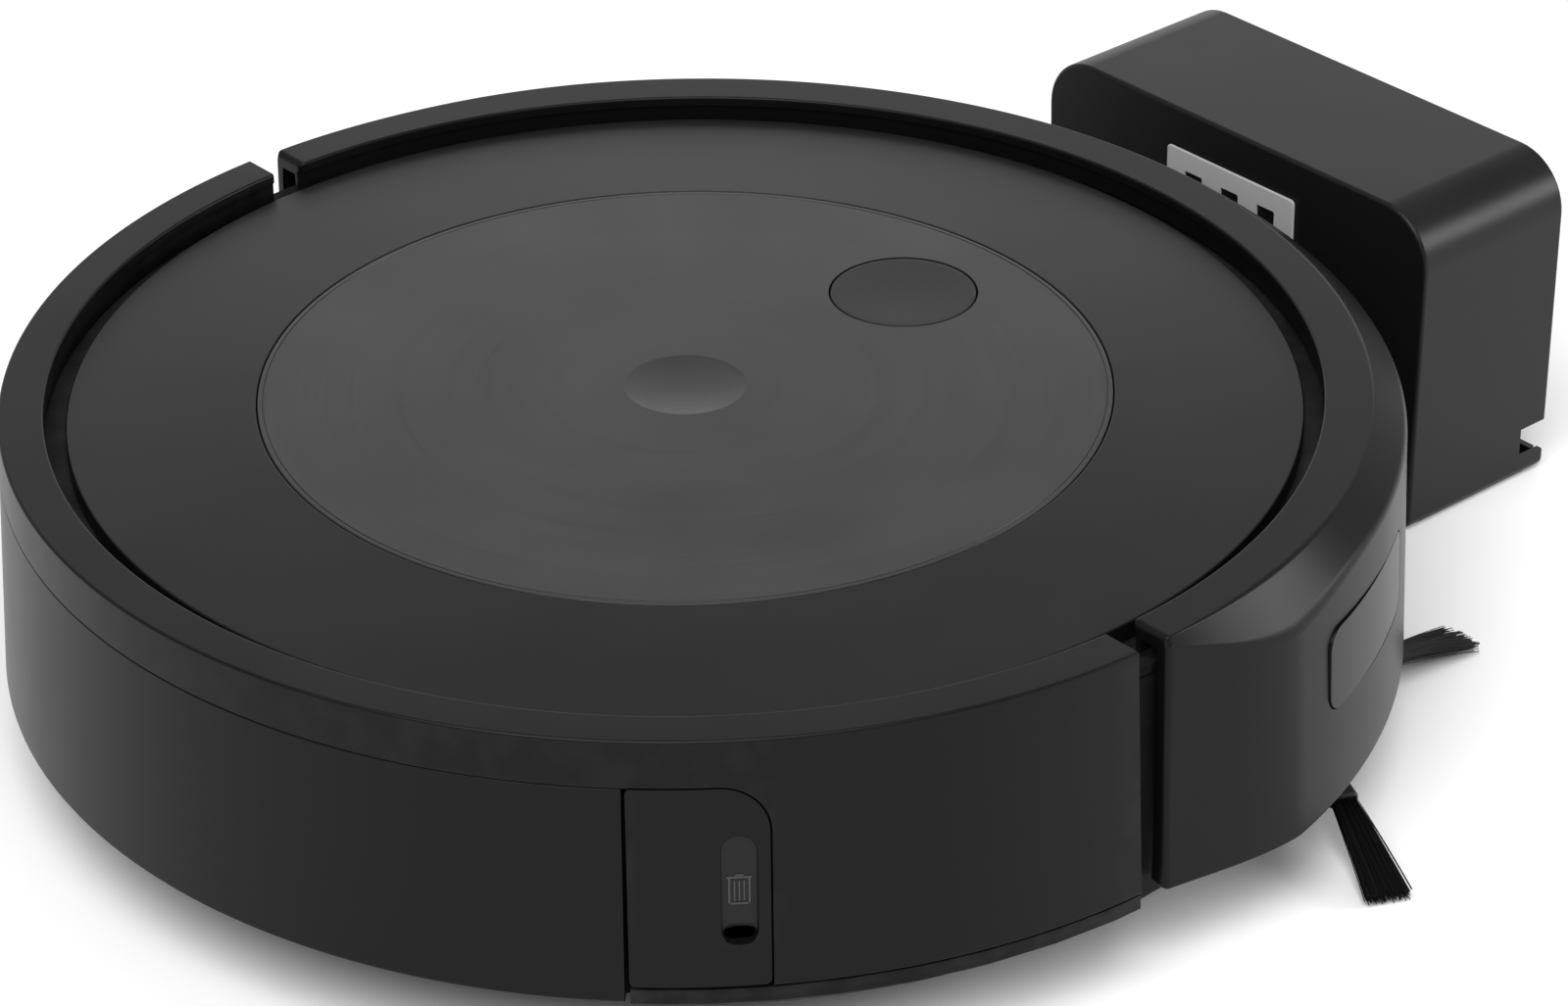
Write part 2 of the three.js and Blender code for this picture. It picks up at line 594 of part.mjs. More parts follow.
// ---- suction fan ----
const fan = { x: -48, y: -45, radius: 30, z0: 45, z1: 73.5, wall: 2.2, eye: 17, outletHalf: 12 };
const blades = { count: 7, thickness: 1.2, height: 11, lean: 18, hub: 6 };
function fanHousing() {
  const { x, y, radius, z0, z1, wall, eye, outletHalf } = fan;
  return cut(rod(radius, z0, z1, x, y, 28), [
    rod(radius - wall, z0 + 2, z1 - 2, x, y, 28),
    rod(eye, z1 - 5, z1 + 5, x, y, 20),
    block(x - outletHalf, x + outletHalf, y - radius - 2, y - radius + 6, z0 + 6, z1 - 6),
  ]);
}
piece('fan_housing', fanHousing(), innerBlack, 0.5);

function impeller() {
  const { x, y, radius, z0, z1 } = fan;
  const reach = radius - 5;
  const parts = [rod(reach, z0 + 4, z0 + 5.6, x, y, 24), rod(blades.hub, z0 + 5, z1 - 6, x, y, 12)];
  for (let i = 0; i < blades.count; i++) {
    const g = new THREE.BoxGeometry(reach - blades.hub, blades.thickness, blades.height);
    g.rotateZ(rad(blades.lean));
    g.translate((reach + 3.5) / 2, 0, 0);
    g.rotateZ(Math.PI * 2 * i / blades.count);
    g.translate(x, y, z0 + 5.1 + blades.height / 2);
    parts.push(solid(g));
  }
  return union(parts);
}
piece('fan_impeller', impeller(), 0x8a8c8e, 0.4);

// ---- drive wheels ----
for (const [side, word] of [[-1, 'left'], [1, 'right']]) {
  const span = (a, b) => (side > 0 ? [a, b] : [-b, -a]);
  const [a0, a1] = span(armX - armWidth / 2, armX + armWidth / 2);
  const [p0, p1] = span(armX - armWidth / 2 - 3.6, armX + armWidth / 2 + 3.4);
  const [s0, s1] = span(armX, wheelX + wheelWidth / 2 - 6);
  const arm = union([
    block(a0, a1, wheelY, pivotY, 28, 48), crossRod(10, a0, a1, wheelY, 38, 16),
    crossRod(8, a0, a1, pivotY, pivotZ, 16), crossRod(4, p0, p1, pivotY, pivotZ, 14),
    crossRod(3.9, s0, s1, wheelY, wheelRadius, 14),
  ]);
  piece(`wheel_arm_${word}`, arm, innerBlack, 0.5);
  const [w0, w1] = span(wheelX - wheelWidth / 2, wheelX + wheelWidth / 2);
  const [h0, h1] = span(wheelX - wheelWidth / 2 + 1, wheelX + wheelWidth / 2 - 1);
  const [b0, b1] = span(wheelX - wheelWidth, wheelX + wheelWidth / 2 - 5.5);
  const bore = crossRod(4.3, b0, b1, wheelY, wheelRadius, 14);
  const hub = cut(crossRod(wheelHubRadius, h0, h1, wheelY, wheelRadius, 28), [bore]);
  piece(`wheel_hub_${word}`, hub, 0x2a2a2c, 0.5);
  const tyre = cut(crossRod(wheelRadius, w0, w1, wheelY, wheelRadius, 40),
    [crossRod(wheelHubRadius + 0.5, w0 - 2, w1 + 2, wheelY, wheelRadius, 28)]);
  piece(`tyre_${word}`, tyre, rubber, 0.85);
}

// ---- front caster ----
function casterFork() {
  const cheekX = casterWidth / 2 + 0.8;
  const axleY = casterY - casterTrail;
  const parts = [rod(17, 24, 27, 0, casterY, 32), rod(6, 26, 38, 0, casterY, 20)];
  for (const x of [-cheekX - 2.6, cheekX]) {
    parts.push(block(x, x + 2.6, axleY - 4.5, axleY + 12, casterRadius - 4.5, 25));
  }
  return cut(union(parts), [crossRod(2.2, -20, 20, casterY - casterTrail, casterRadius, 16)]);
}
piece('caster_fork', casterFork(), 0x2a2a2c, 0.5);
piece('caster_wheel', cut(
  crossRod(casterRadius, -casterWidth / 2, casterWidth / 2, casterY - casterTrail, casterRadius, 32),
  [crossRod(2.2, -20, 20, casterY - casterTrail, casterRadius, 16)],
), rubber, 0.6);
piece('caster_axle', crossRod(1.9, -10.2, 10.2, casterY - casterTrail, casterRadius, 16), steel, 0.3, 0.9);

// ---- side brush ----
function brushArmSection(along, across, z, width, thickness, heading) {
  const dir = fromNose(1, heading);
  const side = xy(dir.y, -dir.x);
  return [[-1, 0], [1, 0], [1, 1], [-1, 1]].map(([s, k]) => new THREE.Vector3(
    brushX + dir.x * along + side.x * (across + s * width / 2),
    brushY + dir.y * along + side.y * (across + s * width / 2),
    z + k * thickness,
  ));
}
const squareFlat = [xy(-1, 0), xy(1, 0), xy(1, 1), xy(-1, 1)];
const brushHeadings = [0, 1, 2].map((i) => brushHeading + 120 * i);

function brushHub() {
  const parts = [
    rod(10.5, 7, underside - 0.6, brushX, brushY, 24),
    rod(4, underside - 1, 22, brushX, brushY, 16),
  ];
  for (const heading of brushHeadings) {
    parts.push(lofted([
      brushArmSection(5, 0, holderZ, 9, holderThickness, heading),
      brushArmSection(holderReach, 0, holderZ, 7.4, holderThickness, heading),
    ], squareFlat));
  }
  return cut(union(parts), [rod(1.6, 0, 14, brushX, brushY, 12)]);
}
piece('side_brush_hub', brushHub(), rubber, 0.7);
for (const [i, heading] of brushHeadings.entries()) {
  piece(`bristle_tuft_${i + 1}`, lofted([
    brushArmSection(holderReach + gap, 0, holderZ, 6.4, holderThickness, heading),
    brushArmSection((holderReach + brushReach) / 2, 0, 4.6, 7.4, 3, heading),
    brushArmSection(brushReach, 0, 0.7, 9.8, 2.4, heading),
  ], squareFlat), rubber, 0.9);
}
piece('side_brush_screw', rod(3.6, 5.4, 6.7, brushX, brushY, 16), steel, 0.3, 0.9);
const brushMotor = union([
  rod(7.2, 17.8, 34, brushX, brushY, 24),
  rod(13, floorTop + gap, 56, brushX - 15.2, brushY - 12.3, 28),
  block(brushX - 17.2, brushX - 1.2, brushY - 10.3, brushY + 1.7, 18, 32),
]);
piece('side_brush_motor', cut(brushMotor, [rod(4.4, 0, 24, brushX, brushY, 16)]), innerBlack, 0.5);

// ---- electronics, battery, sensors and charging contacts ----
const batteryTop = 60;
piece('battery', block(-batteryHalf, batteryHalf, batteryY[0], batteryY[1], floorTop + gap, batteryTop),
  0x20242a, 0.6);
const doorGap = 0.4;
piece('battery_door', block(-batteryHalf - 6 + doorGap, batteryHalf + 6 - doorGap,
  batteryY[0] - 5 + doorGap, batteryY[1] + 5 - doorGap, underside, floorTop - 0.2), 0x222224, 0.55);
// the board stands over the battery, with four components on it: x, y and height
const board = { half: 62, y: [18, 92], z: [batteryTop + 3, batteryTop + 4.6] };
const components = [
  [-24, 4, 40, 66, 2.4], [20, 50, 30, 44, 6.4], [-54, -36, 70, 86, 4.4], [18, 34, 62, 80, 2],
];
piece('main_board', union([
  block(-board.half, board.half, ...board.y, ...board.z),
  ...components.map(([x0, x1, y0, y1, height]) => block(
    x0, x1, y0, y1, board.z[1] - 0.2, board.z[1] + height)),
]), green, 0.5);
for (const [side, word] of [[-1, 'left'], [1, 'right']]) {
  const x = side * contactX;
  const plate = block(x - 6, x + 6, contactY - 4, contactY + 4, underside, 14);
  piece(`charge_contact_${word}`, plate, steel, 0.25, 1);
}
for (const [i, { x, y }] of cliffSpots.entries()) {
  piece(`cliff_sensor_${i + 1}`, block(x - cliffSize[0] / 2, x + cliffSize[0] / 2,
    y - cliffSize[1] / 2, y + cliffSize[1] / 2, underside + 0.1, 14.4), gloss, 0.2);
}

// ---- charging dock ----
function dockOutline(inset) {
  const top = dockHeight - inset;
  const foot = dockBaseThickness + gap + inset;
  const halfTop = dockWidth / 2 - inset;
  const halfFoot = halfTop - dockDraft;
  const r = dockCorner - inset;
  const rFoot = 7 - inset;
  const s = new THREE.Shape();
  s.moveTo(-halfFoot + rFoot, foot);
  s.lineTo(halfFoot - rFoot, foot);
  s.absarc(halfFoot - rFoot, foot + rFoot, rFoot, -Math.PI / 2, 0, false);
  s.lineTo(halfTop, top - r);
  s.absarc(halfTop - r, top - r, r, 0, Math.PI / 2, false);
  s.absarc(-halfTop + r, top - r, r, Math.PI / 2, Math.PI, false);
  s.lineTo(-halfFoot, foot + rFoot);
  s.absarc(-halfFoot + rFoot, foot + rFoot, rFoot, Math.PI, Math.PI * 1.5, false);
  return s;
}

function acrossDock(shape, y0, y1) {
  const g = new THREE.ExtrudeGeometry(shape, { depth: y1 - y0, bevelEnabled: false, curveSegments: 6 });
  g.rotateX(Math.PI / 2);
  g.translate(0, y1, 0);
  return solid(g);
}

const backCover = 2.2;
const cableNotch = block(55, 90, dockBack - 9.7, dockBack + 8.3, 5, 15.4);
piece('dock_housing', cut(acrossDock(dockOutline(0), dockFront, dockBack - backCover - gap), [
  acrossDock(dockOutline(dockWall), dockFront + dockWall, dockBack + 5), cableNotch,
]), black, 0.4);
const backPlate = acrossDock(dockOutline(0), dockBack - backCover, dockBack);
piece('dock_back_cover', cut(backPlate, [cableNotch]), black, 0.5);

function dockBase() {
  const half = dockWidth / 2 - dockDraft - 1.5;
  const middle = (dockFront + dockBack) / 2;
  const deck = prism(roundedRect(2 * half, dockDepth - 1, 6, 0, middle), 0, dockBaseThickness);
  const tongue = prism(roundedRect(2 * tongueHalf, dockFront + 8 - tongueFront, [9, 9, 0, 0],
    0, (dockFront + 8 + tongueFront) / 2), 0, dockBaseThickness);
  const raised = prism(roundedRect(2 * tongueHalf - 3, dockFront - 0.6 - tongueFront - 4, [8, 8, 2, 2],
    0, (dockFront - 0.6 + tongueFront + 4) / 2), dockBaseThickness - 1, tongueThickness);
  const spots = [-contactX, contactX];
  const pads = spots.map((x) => block(x - 5.8, x + 7, contactY - 8, contactY + 8, 1, 9));
  const holes = spots.map((x) => block(x - 4.4, x + 4.4, contactY - 3, contactY + 3, 2.6, 20));
  const slotOutline = roundedRect(2 * (casterWell + 1.2), 2 * casterWell + 20, [0, 0, 16, 16], 0, casterY);
  const slot = prism(slotOutline, -5, 20);
  return cut(union([deck, tongue, raised, ...pads]), [slot, ...holes]);
}
piece('dock_base', dockBase(), 0x18181a, 0.6);
for (const [side, word] of [[-1, 'left'], [1, 'right']]) {
  const x = side * contactX;
  const pad = block(x - 4, x + 4, contactY - 2.6, contactY + 2.6, 5.2, 12.1);
  piece(`dock_contact_${word}`, pad, steel, 0.25, 1);
}

function marker() {
  const plate = acrossDock(roundedRect(markerWidth, markerHeight, 1, 0, markerTop - markerHeight / 2),
    dockFront - 0.9, dockFront - gap);
  const squares = [-1, 0, 1].map((i) => block(i * 13 - 3.2, i * 13 + 3.2, dockFront - 5, dockFront + 5,
    markerTop - 14.5, markerTop - 6.6));
  return cut(plate, squares);
}
piece('dock_marker', marker(), 0xb4b4b4, 0.6);
const inletBox = block(50, 58, dockBack - 18.7, dockBack - 5.7, 6, 17);
piece('dock_inlet', cut(inletBox, [block(52, 56, dockBack - 12.7, dockBack + 3.3, 8, 14)]), gloss, 0.4);

// ---- the origin is on the floor under the middle of the whole object ----
const brushRight = Math.max(...brushHeadings.map((h) => {
  const dir = fromNose(1, h);
  return brushX + dir.x * brushReach + Math.abs(dir.y) * 4.9;
}));
const noseHalf = Math.max(...Array.from({ length: 91 }, (_, i) => bumperSection(i)[6][0] * Math.sin(rad(i))));
all.position.set(-(brushRight - noseHalf) / 2, -(dockBack - wallRadius(skirtFoot + 0.8)) / 2, 0);

export default all;
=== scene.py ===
import json
import math
import bmesh
import bpy
from mathutils import Matrix, Quaternion, Vector


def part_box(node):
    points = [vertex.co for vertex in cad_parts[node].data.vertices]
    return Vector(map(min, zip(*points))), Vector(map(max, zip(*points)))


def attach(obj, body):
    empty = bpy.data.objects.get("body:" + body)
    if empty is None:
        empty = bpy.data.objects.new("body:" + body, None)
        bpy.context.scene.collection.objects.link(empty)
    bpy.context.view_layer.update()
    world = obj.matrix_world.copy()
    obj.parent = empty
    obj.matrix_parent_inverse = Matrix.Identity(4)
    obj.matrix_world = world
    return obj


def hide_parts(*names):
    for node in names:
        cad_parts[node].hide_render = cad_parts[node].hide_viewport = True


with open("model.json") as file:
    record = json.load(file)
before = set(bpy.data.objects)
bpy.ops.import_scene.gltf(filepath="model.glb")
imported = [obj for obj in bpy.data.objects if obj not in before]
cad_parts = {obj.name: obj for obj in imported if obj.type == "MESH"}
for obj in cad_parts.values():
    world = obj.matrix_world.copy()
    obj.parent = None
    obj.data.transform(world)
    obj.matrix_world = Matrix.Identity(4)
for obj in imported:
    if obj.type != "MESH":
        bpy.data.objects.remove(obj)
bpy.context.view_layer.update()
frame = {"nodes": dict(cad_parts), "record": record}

mm = 0.001
discLow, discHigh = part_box("lid_disc")
axis = Vector(((discLow.x + discHigh.x) / 2, (discLow.y + discHigh.y) / 2, 0))   # the robot's own middle


def spot(node):
    # lowest and highest corner of a node, in millimetres from the robot's middle
    low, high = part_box(node)
    return (low - axis) / mm, (high - axis) / mm


def middleOf(node):
    low, high = spot(node)
    return (low + high) / 2


# camera, floor and lights
view = dict(lens=127.48, distance=1.353, azimuth=48.92, elevation=30.0, roll=0.54, aim=(6.67, 24.98, 45))


def makeCamera():
    azimuth, elevation = math.radians(view["azimuth"]), math.radians(view["elevation"])
    level = math.cos(elevation)
    forward = Vector((-math.sin(azimuth) * level, math.cos(azimuth) * level, -math.sin(elevation)))
    camera = bpy.data.objects.new("camera", bpy.data.cameras.new("camera"))
    camera.data.lens = view["lens"]
    camera.data.sensor_width = 36
    camera.rotation_mode = "QUATERNION"
    turn = Quaternion(forward, math.radians(view["roll"]))
    camera.rotation_quaternion = turn @ forward.to_track_quat("-Z", "Y")
    camera.location = axis + Vector(view["aim"]) * mm - forward * view["distance"]
    bpy.context.scene.collection.objects.link(camera)
    bpy.context.scene.camera = camera


studio = dict(
    world=0.5, floorSize=9.0, floorColour=0.96,
    lights=[
        dict(name="key", place=(1.1, -1.5, 2.7), aim=(0, 0, 0), size=(2.6, 2.6), power=105),
        dict(name="backdrop", place=(-2.0, 1.75, 0.7), aim=(0, 0, 0.1), size=(3.0, 0.9), power=10),
        dict(name="shoulderLight", place=(1.2, 1.4, 0.62), aim=(0.15, 0, 0.08), size=(0.7, 0.6), power=15),
    ],
)


def makeStudio():
    bpy.context.scene.view_settings.view_transform = "Standard"
    world = bpy.data.worlds.new("studio")
    bpy.context.scene.world = world
    world.use_nodes = True
    world.node_tree.nodes["Background"].inputs["Color"].default_value = (1, 1, 1, 1)
    world.node_tree.nodes["Background"].inputs["Strength"].default_value = studio["world"]
    for spec in studio["lights"]:
        light = bpy.data.lights.new(spec["name"], "AREA")
        light.shape = "RECTANGLE"
        light.size, light.size_y = spec["size"]
        light.energy = spec["power"]
        lamp = bpy.data.objects.new(spec["name"], light)
        lamp.location = spec["place"]
        lamp.rotation_mode = "QUATERNION"
        lamp.rotation_quaternion = (Vector(spec["aim"]) - Vector(spec["place"])).to_track_quat("-Z", "Y")
        bpy.context.scene.collection.objects.link(lamp)
    half = studio["floorSize"] / 2
    drop = 0.1 * mm
    mesh = bpy.data.meshes.new("floor")
    corners = [(-half, -half, -drop), (half, -half, -drop), (half, half, -drop), (-half, half, -drop)]
    mesh.from_pydata(corners, [], [(0, 1, 2, 3)])
    floor = bpy.data.objects.new("floor", mesh)
    bpy.context.scene.collection.objects.link(floor)
    mesh.materials.append(floorMaterial())


# node helpers
def add(tree, kind, inputs=None, **settings):
    # a node with its settings, and each input either linked or given a value
    node = tree.nodes.new(kind)
    for key, value in settings.items():
        setattr(node, key, value)
    for key, value in (inputs or {}).items():
        if isinstance(value, bpy.types.NodeSocket):
            tree.links.new(value, node.inputs[key])
        else:
            node.inputs[key].default_value = value
    return node


def math2(tree, operation, first, second):
    return add(tree, "ShaderNodeMath", {0: first, 1: second}, operation=operation).outputs[0]


def shaderGroup(name, inputs, outputs):
    tree = bpy.data.node_groups.new(name, "ShaderNodeTree")
    for label, kind, value in inputs:
        socket = tree.interface.new_socket(label, in_out="INPUT", socket_type=kind)
        if value is not None:
            socket.default_value = value
    for label in outputs:
        tree.interface.new_socket(label, in_out="OUTPUT", socket_type="NodeSocketFloat")
    return tree, tree.nodes.new("NodeGroupInput").outputs, tree.nodes.new("NodeGroupOutput")


def mouldedGroup():
    # fine spark-eroded grain, with slow mottling over it
    tree, given, result = shaderGroup(
        "mouldedGrain",
        [("Vector", "NodeSocketVector", None), ("Grain Scale", "NodeSocketFloat", 1800.0),
         ("Mottle Scale", "NodeSocketFloat", 14.0)],
        ["Height", "Mottle"],
    )
    fine = add(tree, "ShaderNodeTexNoise",
               {"Vector": given["Vector"], "Scale": given["Grain Scale"], "Detail": 3.0})
    pits = add(tree, "ShaderNodeTexVoronoi", {"Vector": given["Vector"], "Scale": given["Grain Scale"]})
    slow = add(tree, "ShaderNodeTexNoise",
               {"Vector": given["Vector"], "Scale": given["Mottle Scale"], "Detail": 5.0})
    height = math2(tree, "ADD", fine.outputs[0], math2(tree, "MULTIPLY", pits.outputs["Distance"], 0.5))
    tree.links.new(height, result.inputs["Height"])
    tree.links.new(slow.outputs[0], result.inputs["Mottle"])
    return tree


def wearGroup():
    # a mask along the outer edges, broken up so that it isn't even
    tree, given, result = shaderGroup(
        "edgeWear",
        [("Vector", "NodeSocketVector", None), ("Amount", "NodeSocketFloat", 0.5)],
        ["Mask"],
    )
    shape = add(tree, "ShaderNodeNewGeometry")
    edge = add(tree, "ShaderNodeMapRange", {
        "Value": shape.outputs["Pointiness"], "From Min": 0.52, "From Max": 0.62})
    patches = add(tree, "ShaderNodeTexNoise", {"Vector": given["Vector"], "Scale": 160.0, "Detail": 4.0})
    broken = add(tree, "ShaderNodeMapRange",
                 {"Value": patches.outputs[0], "From Min": 0.4, "From Max": 0.65})
    mask = math2(tree, "MULTIPLY", edge.outputs[0], broken.outputs[0])
    tree.links.new(math2(tree, "MULTIPLY", mask, given["Amount"]), result.inputs["Mask"])
    return tree


def dustGroup():
    # a thin film with specks, only where the surface looks up
    tree, given, result = shaderGroup(
        "dustFilm",
        [("Vector", "NodeSocketVector", None), ("Amount", "NodeSocketFloat", 0.2)],
        ["Mask"],
    )
    shape = add(tree, "ShaderNodeNewGeometry")
    facing = add(tree, "ShaderNodeSeparateXYZ", {0: shape.outputs["Normal"]})
    upward = add(tree, "ShaderNodeMapRange",
                 {"Value": facing.outputs["Z"], "From Min": 0.55, "From Max": 0.95})
    film = add(tree, "ShaderNodeTexNoise", {"Vector": given["Vector"], "Scale": 22.0, "Detail": 6.0})
    soft = add(tree, "ShaderNodeMapRange", {"Value": film.outputs[0], "From Min": 0.35, "From Max": 0.75})
    specks = add(tree, "ShaderNodeTexVoronoi", {"Vector": given["Vector"], "Scale": 420.0})
    dots = add(tree, "ShaderNodeMapRange", {
        "Value": specks.outputs["Distance"], "From Min": 0.12, "From Max": 0.04, "To Max": 0.5})
    both = math2(tree, "ADD", soft.outputs[0], dots.outputs[0])
    mask = math2(tree, "MULTIPLY", math2(tree, "MULTIPLY", both, upward.outputs[0]), given["Amount"])
    tree.links.new(mask, result.inputs["Mask"])
    return tree


def ringGroup():
    # concentric brushing round the vector's own middle
    tree, given, result = shaderGroup(
        "brushedRings",
        [("Vector", "NodeSocketVector", None), ("Ring Scale", "NodeSocketFloat", 900.0)],
        ["Height", "Streak"],
    )
    flat = add(tree, "ShaderNodeVectorMath", {0: given["Vector"], 1: (1, 1, 0)}, operation="MULTIPLY")
    radius = add(tree, "ShaderNodeVectorMath", {0: flat.outputs[0]}, operation="LENGTH")
    around = add(tree, "ShaderNodeVectorMath", {0: flat.outputs[0]}, operation="NORMALIZE")
    turn = add(tree, "ShaderNodeSeparateXYZ", {0: around.outputs[0]})
    ring = math2(tree, "MULTIPLY", radius.outputs["Value"], given["Ring Scale"])
    place = add(tree, "ShaderNodeCombineXYZ", {"X": ring, "Y": turn.outputs["X"], "Z": turn.outputs["Y"]})
    fine = add(tree, "ShaderNodeTexNoise", {"Vector": place.outputs[0], "Scale": 1.0, "Detail": 2.0})
    broad = add(tree, "ShaderNodeTexNoise", {"Vector": place.outputs[0], "Scale": 0.15, "Detail": 2.0})
    tree.links.new(fine.outputs[0], result.inputs["Height"])
    tree.links.new(broad.outputs[0], result.inputs["Streak"])
    return tree


grainTree = mouldedGroup()
wearTree = wearGroup()
dustTree = dustGroup()
ringTree = ringGroup()
print("shader groups made")


# finishes
def startMaterial(name, roughness, metallic=0.0, specular=0.5):
    material = bpy.data.materials.new(name)
    material.use_nodes = True
    tree = material.node_tree
    shader = tree.nodes["Principled BSDF"]
    shader.inputs["Roughness"].default_value = roughness
    shader.inputs["Metallic"].default_value = metallic
    shader.inputs["Specular IOR Level"].default_value = specular
    place = add(tree, "ShaderNodeTexCoord").outputs["Object"]
    return material, tree, shader, place


def mixColour(tree, factor, first, second):
    node = tree.nodes.new("ShaderNodeMix")
    node.data_type = "RGBA"
    for socket, value in ((0, factor), (6, first), (7, second)):
        if isinstance(value, bpy.types.NodeSocket):
            tree.links.new(value, node.inputs[socket])
        else:
            node.inputs[socket].default_value = value
    return node.outputs[2]


def grey(value, tint=(1.0, 1.0, 1.0)):
    return (value * tint[0], value * tint[1], value * tint[2], 1)


def bumped(tree, shader, height, strength, distance):
    bump = add(tree, "ShaderNodeBump", {"Height": height, "Strength": strength, "Distance": distance * mm})
    tree.links.new(bump.outputs[0], shader.inputs["Normal"])


def mouldedPlastic(name, colour, roughness, specular=0.5, grain=1800.0, depth=0.02, strength=0.35,
                   mottle=0.25, wear=0.4, dust=0.04, tint=(1.0, 1.0, 1.0), spread=0.08):
    material, tree, shader, place = startMaterial(name, roughness, 0.0, specular)
    grained = add(tree, "ShaderNodeGroup", node_tree=grainTree)
    tree.links.new(place, grained.inputs["Vector"])
    grained.inputs["Grain Scale"].default_value = grain
    worn = add(tree, "ShaderNodeGroup", node_tree=wearTree)
    tree.links.new(place, worn.inputs["Vector"])
    worn.inputs["Amount"].default_value = wear
    dusty = add(tree, "ShaderNodeGroup", node_tree=dustTree)
    tree.links.new(place, dusty.inputs["Vector"])
    dusty.inputs["Amount"].default_value = dust
    base = mixColour(tree, grained.outputs["Mottle"], grey(colour * (1 - mottle), tint),
                     grey(colour * (1 + mottle), tint))
    rubbed = mixColour(tree, worn.outputs["Mask"], base, grey(min(1, colour * 2.2 + 0.02), tint))
    settled = mixColour(tree, dusty.outputs["Mask"], rubbed, grey(0.32))
    tree.links.new(settled, shader.inputs["Base Color"])
    rough = add(tree, "ShaderNodeMapRange", {
        "Value": grained.outputs["Mottle"], "From Min": 0.3, "From Max": 0.7,
        "To Min": roughness - spread, "To Max": roughness + spread})
    polished = math2(tree, "SUBTRACT", rough.outputs[0], math2(tree, "MULTIPLY", worn.outputs["Mask"], 0.12))
    tree.links.new(math2(tree, "ADD", polished, dusty.outputs["Mask"]), shader.inputs["Roughness"])
    bumped(tree, shader, grained.outputs["Height"], strength, depth)
    return material


def brushedDisc(name, colour, roughness, centre):
    material, tree, shader, place = startMaterial(name, roughness, 0.0, 0.3)
    moved = add(tree, "ShaderNodeMapping", {"Vector": place, "Location": (-centre.x, -centre.y, 0)})
    rings = add(tree, "ShaderNodeGroup", node_tree=ringTree)
    tree.links.new(moved.outputs[0], rings.inputs["Vector"])
    dusty = add(tree, "ShaderNodeGroup", node_tree=dustTree)
    tree.links.new(place, dusty.inputs["Vector"])
    dusty.inputs["Amount"].default_value = 0.03
    base = mixColour(tree, rings.outputs["Height"], grey(colour * 0.7), grey(colour * 1.3))
    tree.links.new(mixColour(tree, dusty.outputs["Mask"], base, grey(0.32)), shader.inputs["Base Color"])
    both = math2(tree, "ADD", math2(tree, "MULTIPLY", rings.outputs["Height"], 0.5),
                 math2(tree, "MULTIPLY", rings.outputs["Streak"], 0.5))
    rough = add(tree, "ShaderNodeMapRange", {
        "Value": both, "From Min": 0.35, "From Max": 0.65,
        "To Min": roughness - 0.05, "To Max": roughness + 0.05})
    tree.links.new(rough.outputs[0], shader.inputs["Roughness"])
    return material


def plainMetal(name, colour, roughness, scale=900.0):
    material, tree, shader, place = startMaterial(name, roughness, 1.0)
    grained = add(tree, "ShaderNodeGroup", node_tree=grainTree)
    tree.links.new(place, grained.inputs["Vector"])
    grained.inputs["Grain Scale"].default_value = scale
    base = mixColour(tree, grained.outputs["Mottle"], grey(colour * 0.85), grey(colour))
    tree.links.new(base, shader.inputs["Base Color"])
    rough = add(tree, "ShaderNodeMapRange", {
        "Value": grained.outputs["Mottle"], "To Min": roughness - 0.08, "To Max": roughness + 0.12})
    tree.links.new(rough.outputs[0], shader.inputs["Roughness"])
    bumped(tree, shader, grained.outputs["Height"], 0.15, 0.01)
    return material


def circuitBoard(name):
    # solder mask with copper tracks on a fine grid
    material, tree, shader, place = startMaterial(name, 0.35, 0.0, 0.5)
    tracks = add(tree, "ShaderNodeTexBrick", {
        "Vector": place, "Scale": 260.0, "Mortar Size": 0.05, "Brick Width": 0.9, "Row Height": 0.35})
    pads = add(tree, "ShaderNodeTexVoronoi", {"Vector": place, "Scale": 330.0})
    dots = add(tree, "ShaderNodeMapRange",
               {"Value": pads.outputs["Distance"], "From Min": 0.2, "From Max": 0.15})
    mask = mixColour(tree, tracks.outputs["Fac"], (0.010, 0.055, 0.022, 1), (0.03, 0.14, 0.055, 1))
    tree.links.new(mixColour(tree, dots.outputs[0], mask, (0.75, 0.6, 0.32, 1)), shader.inputs["Base Color"])
    tree.links.new(dots.outputs[0], shader.inputs["Metallic"])
    bumped(tree, shader, tracks.outputs["Fac"], 0.2, 0.03)
    return material


def floorMaterial():
    material, tree, shader, place = startMaterial("floorPale", 0.6, 0.0, 0.2)
    cloud = add(tree, "ShaderNodeTexNoise", {"Vector": place, "Scale": 3.0, "Detail": 3.0})
    pale = studio["floorColour"]
    tree.links.new(mixColour(tree, cloud.outputs[0], grey(pale * 0.985), grey(pale)),
                   shader.inputs["Base Color"])
    return material


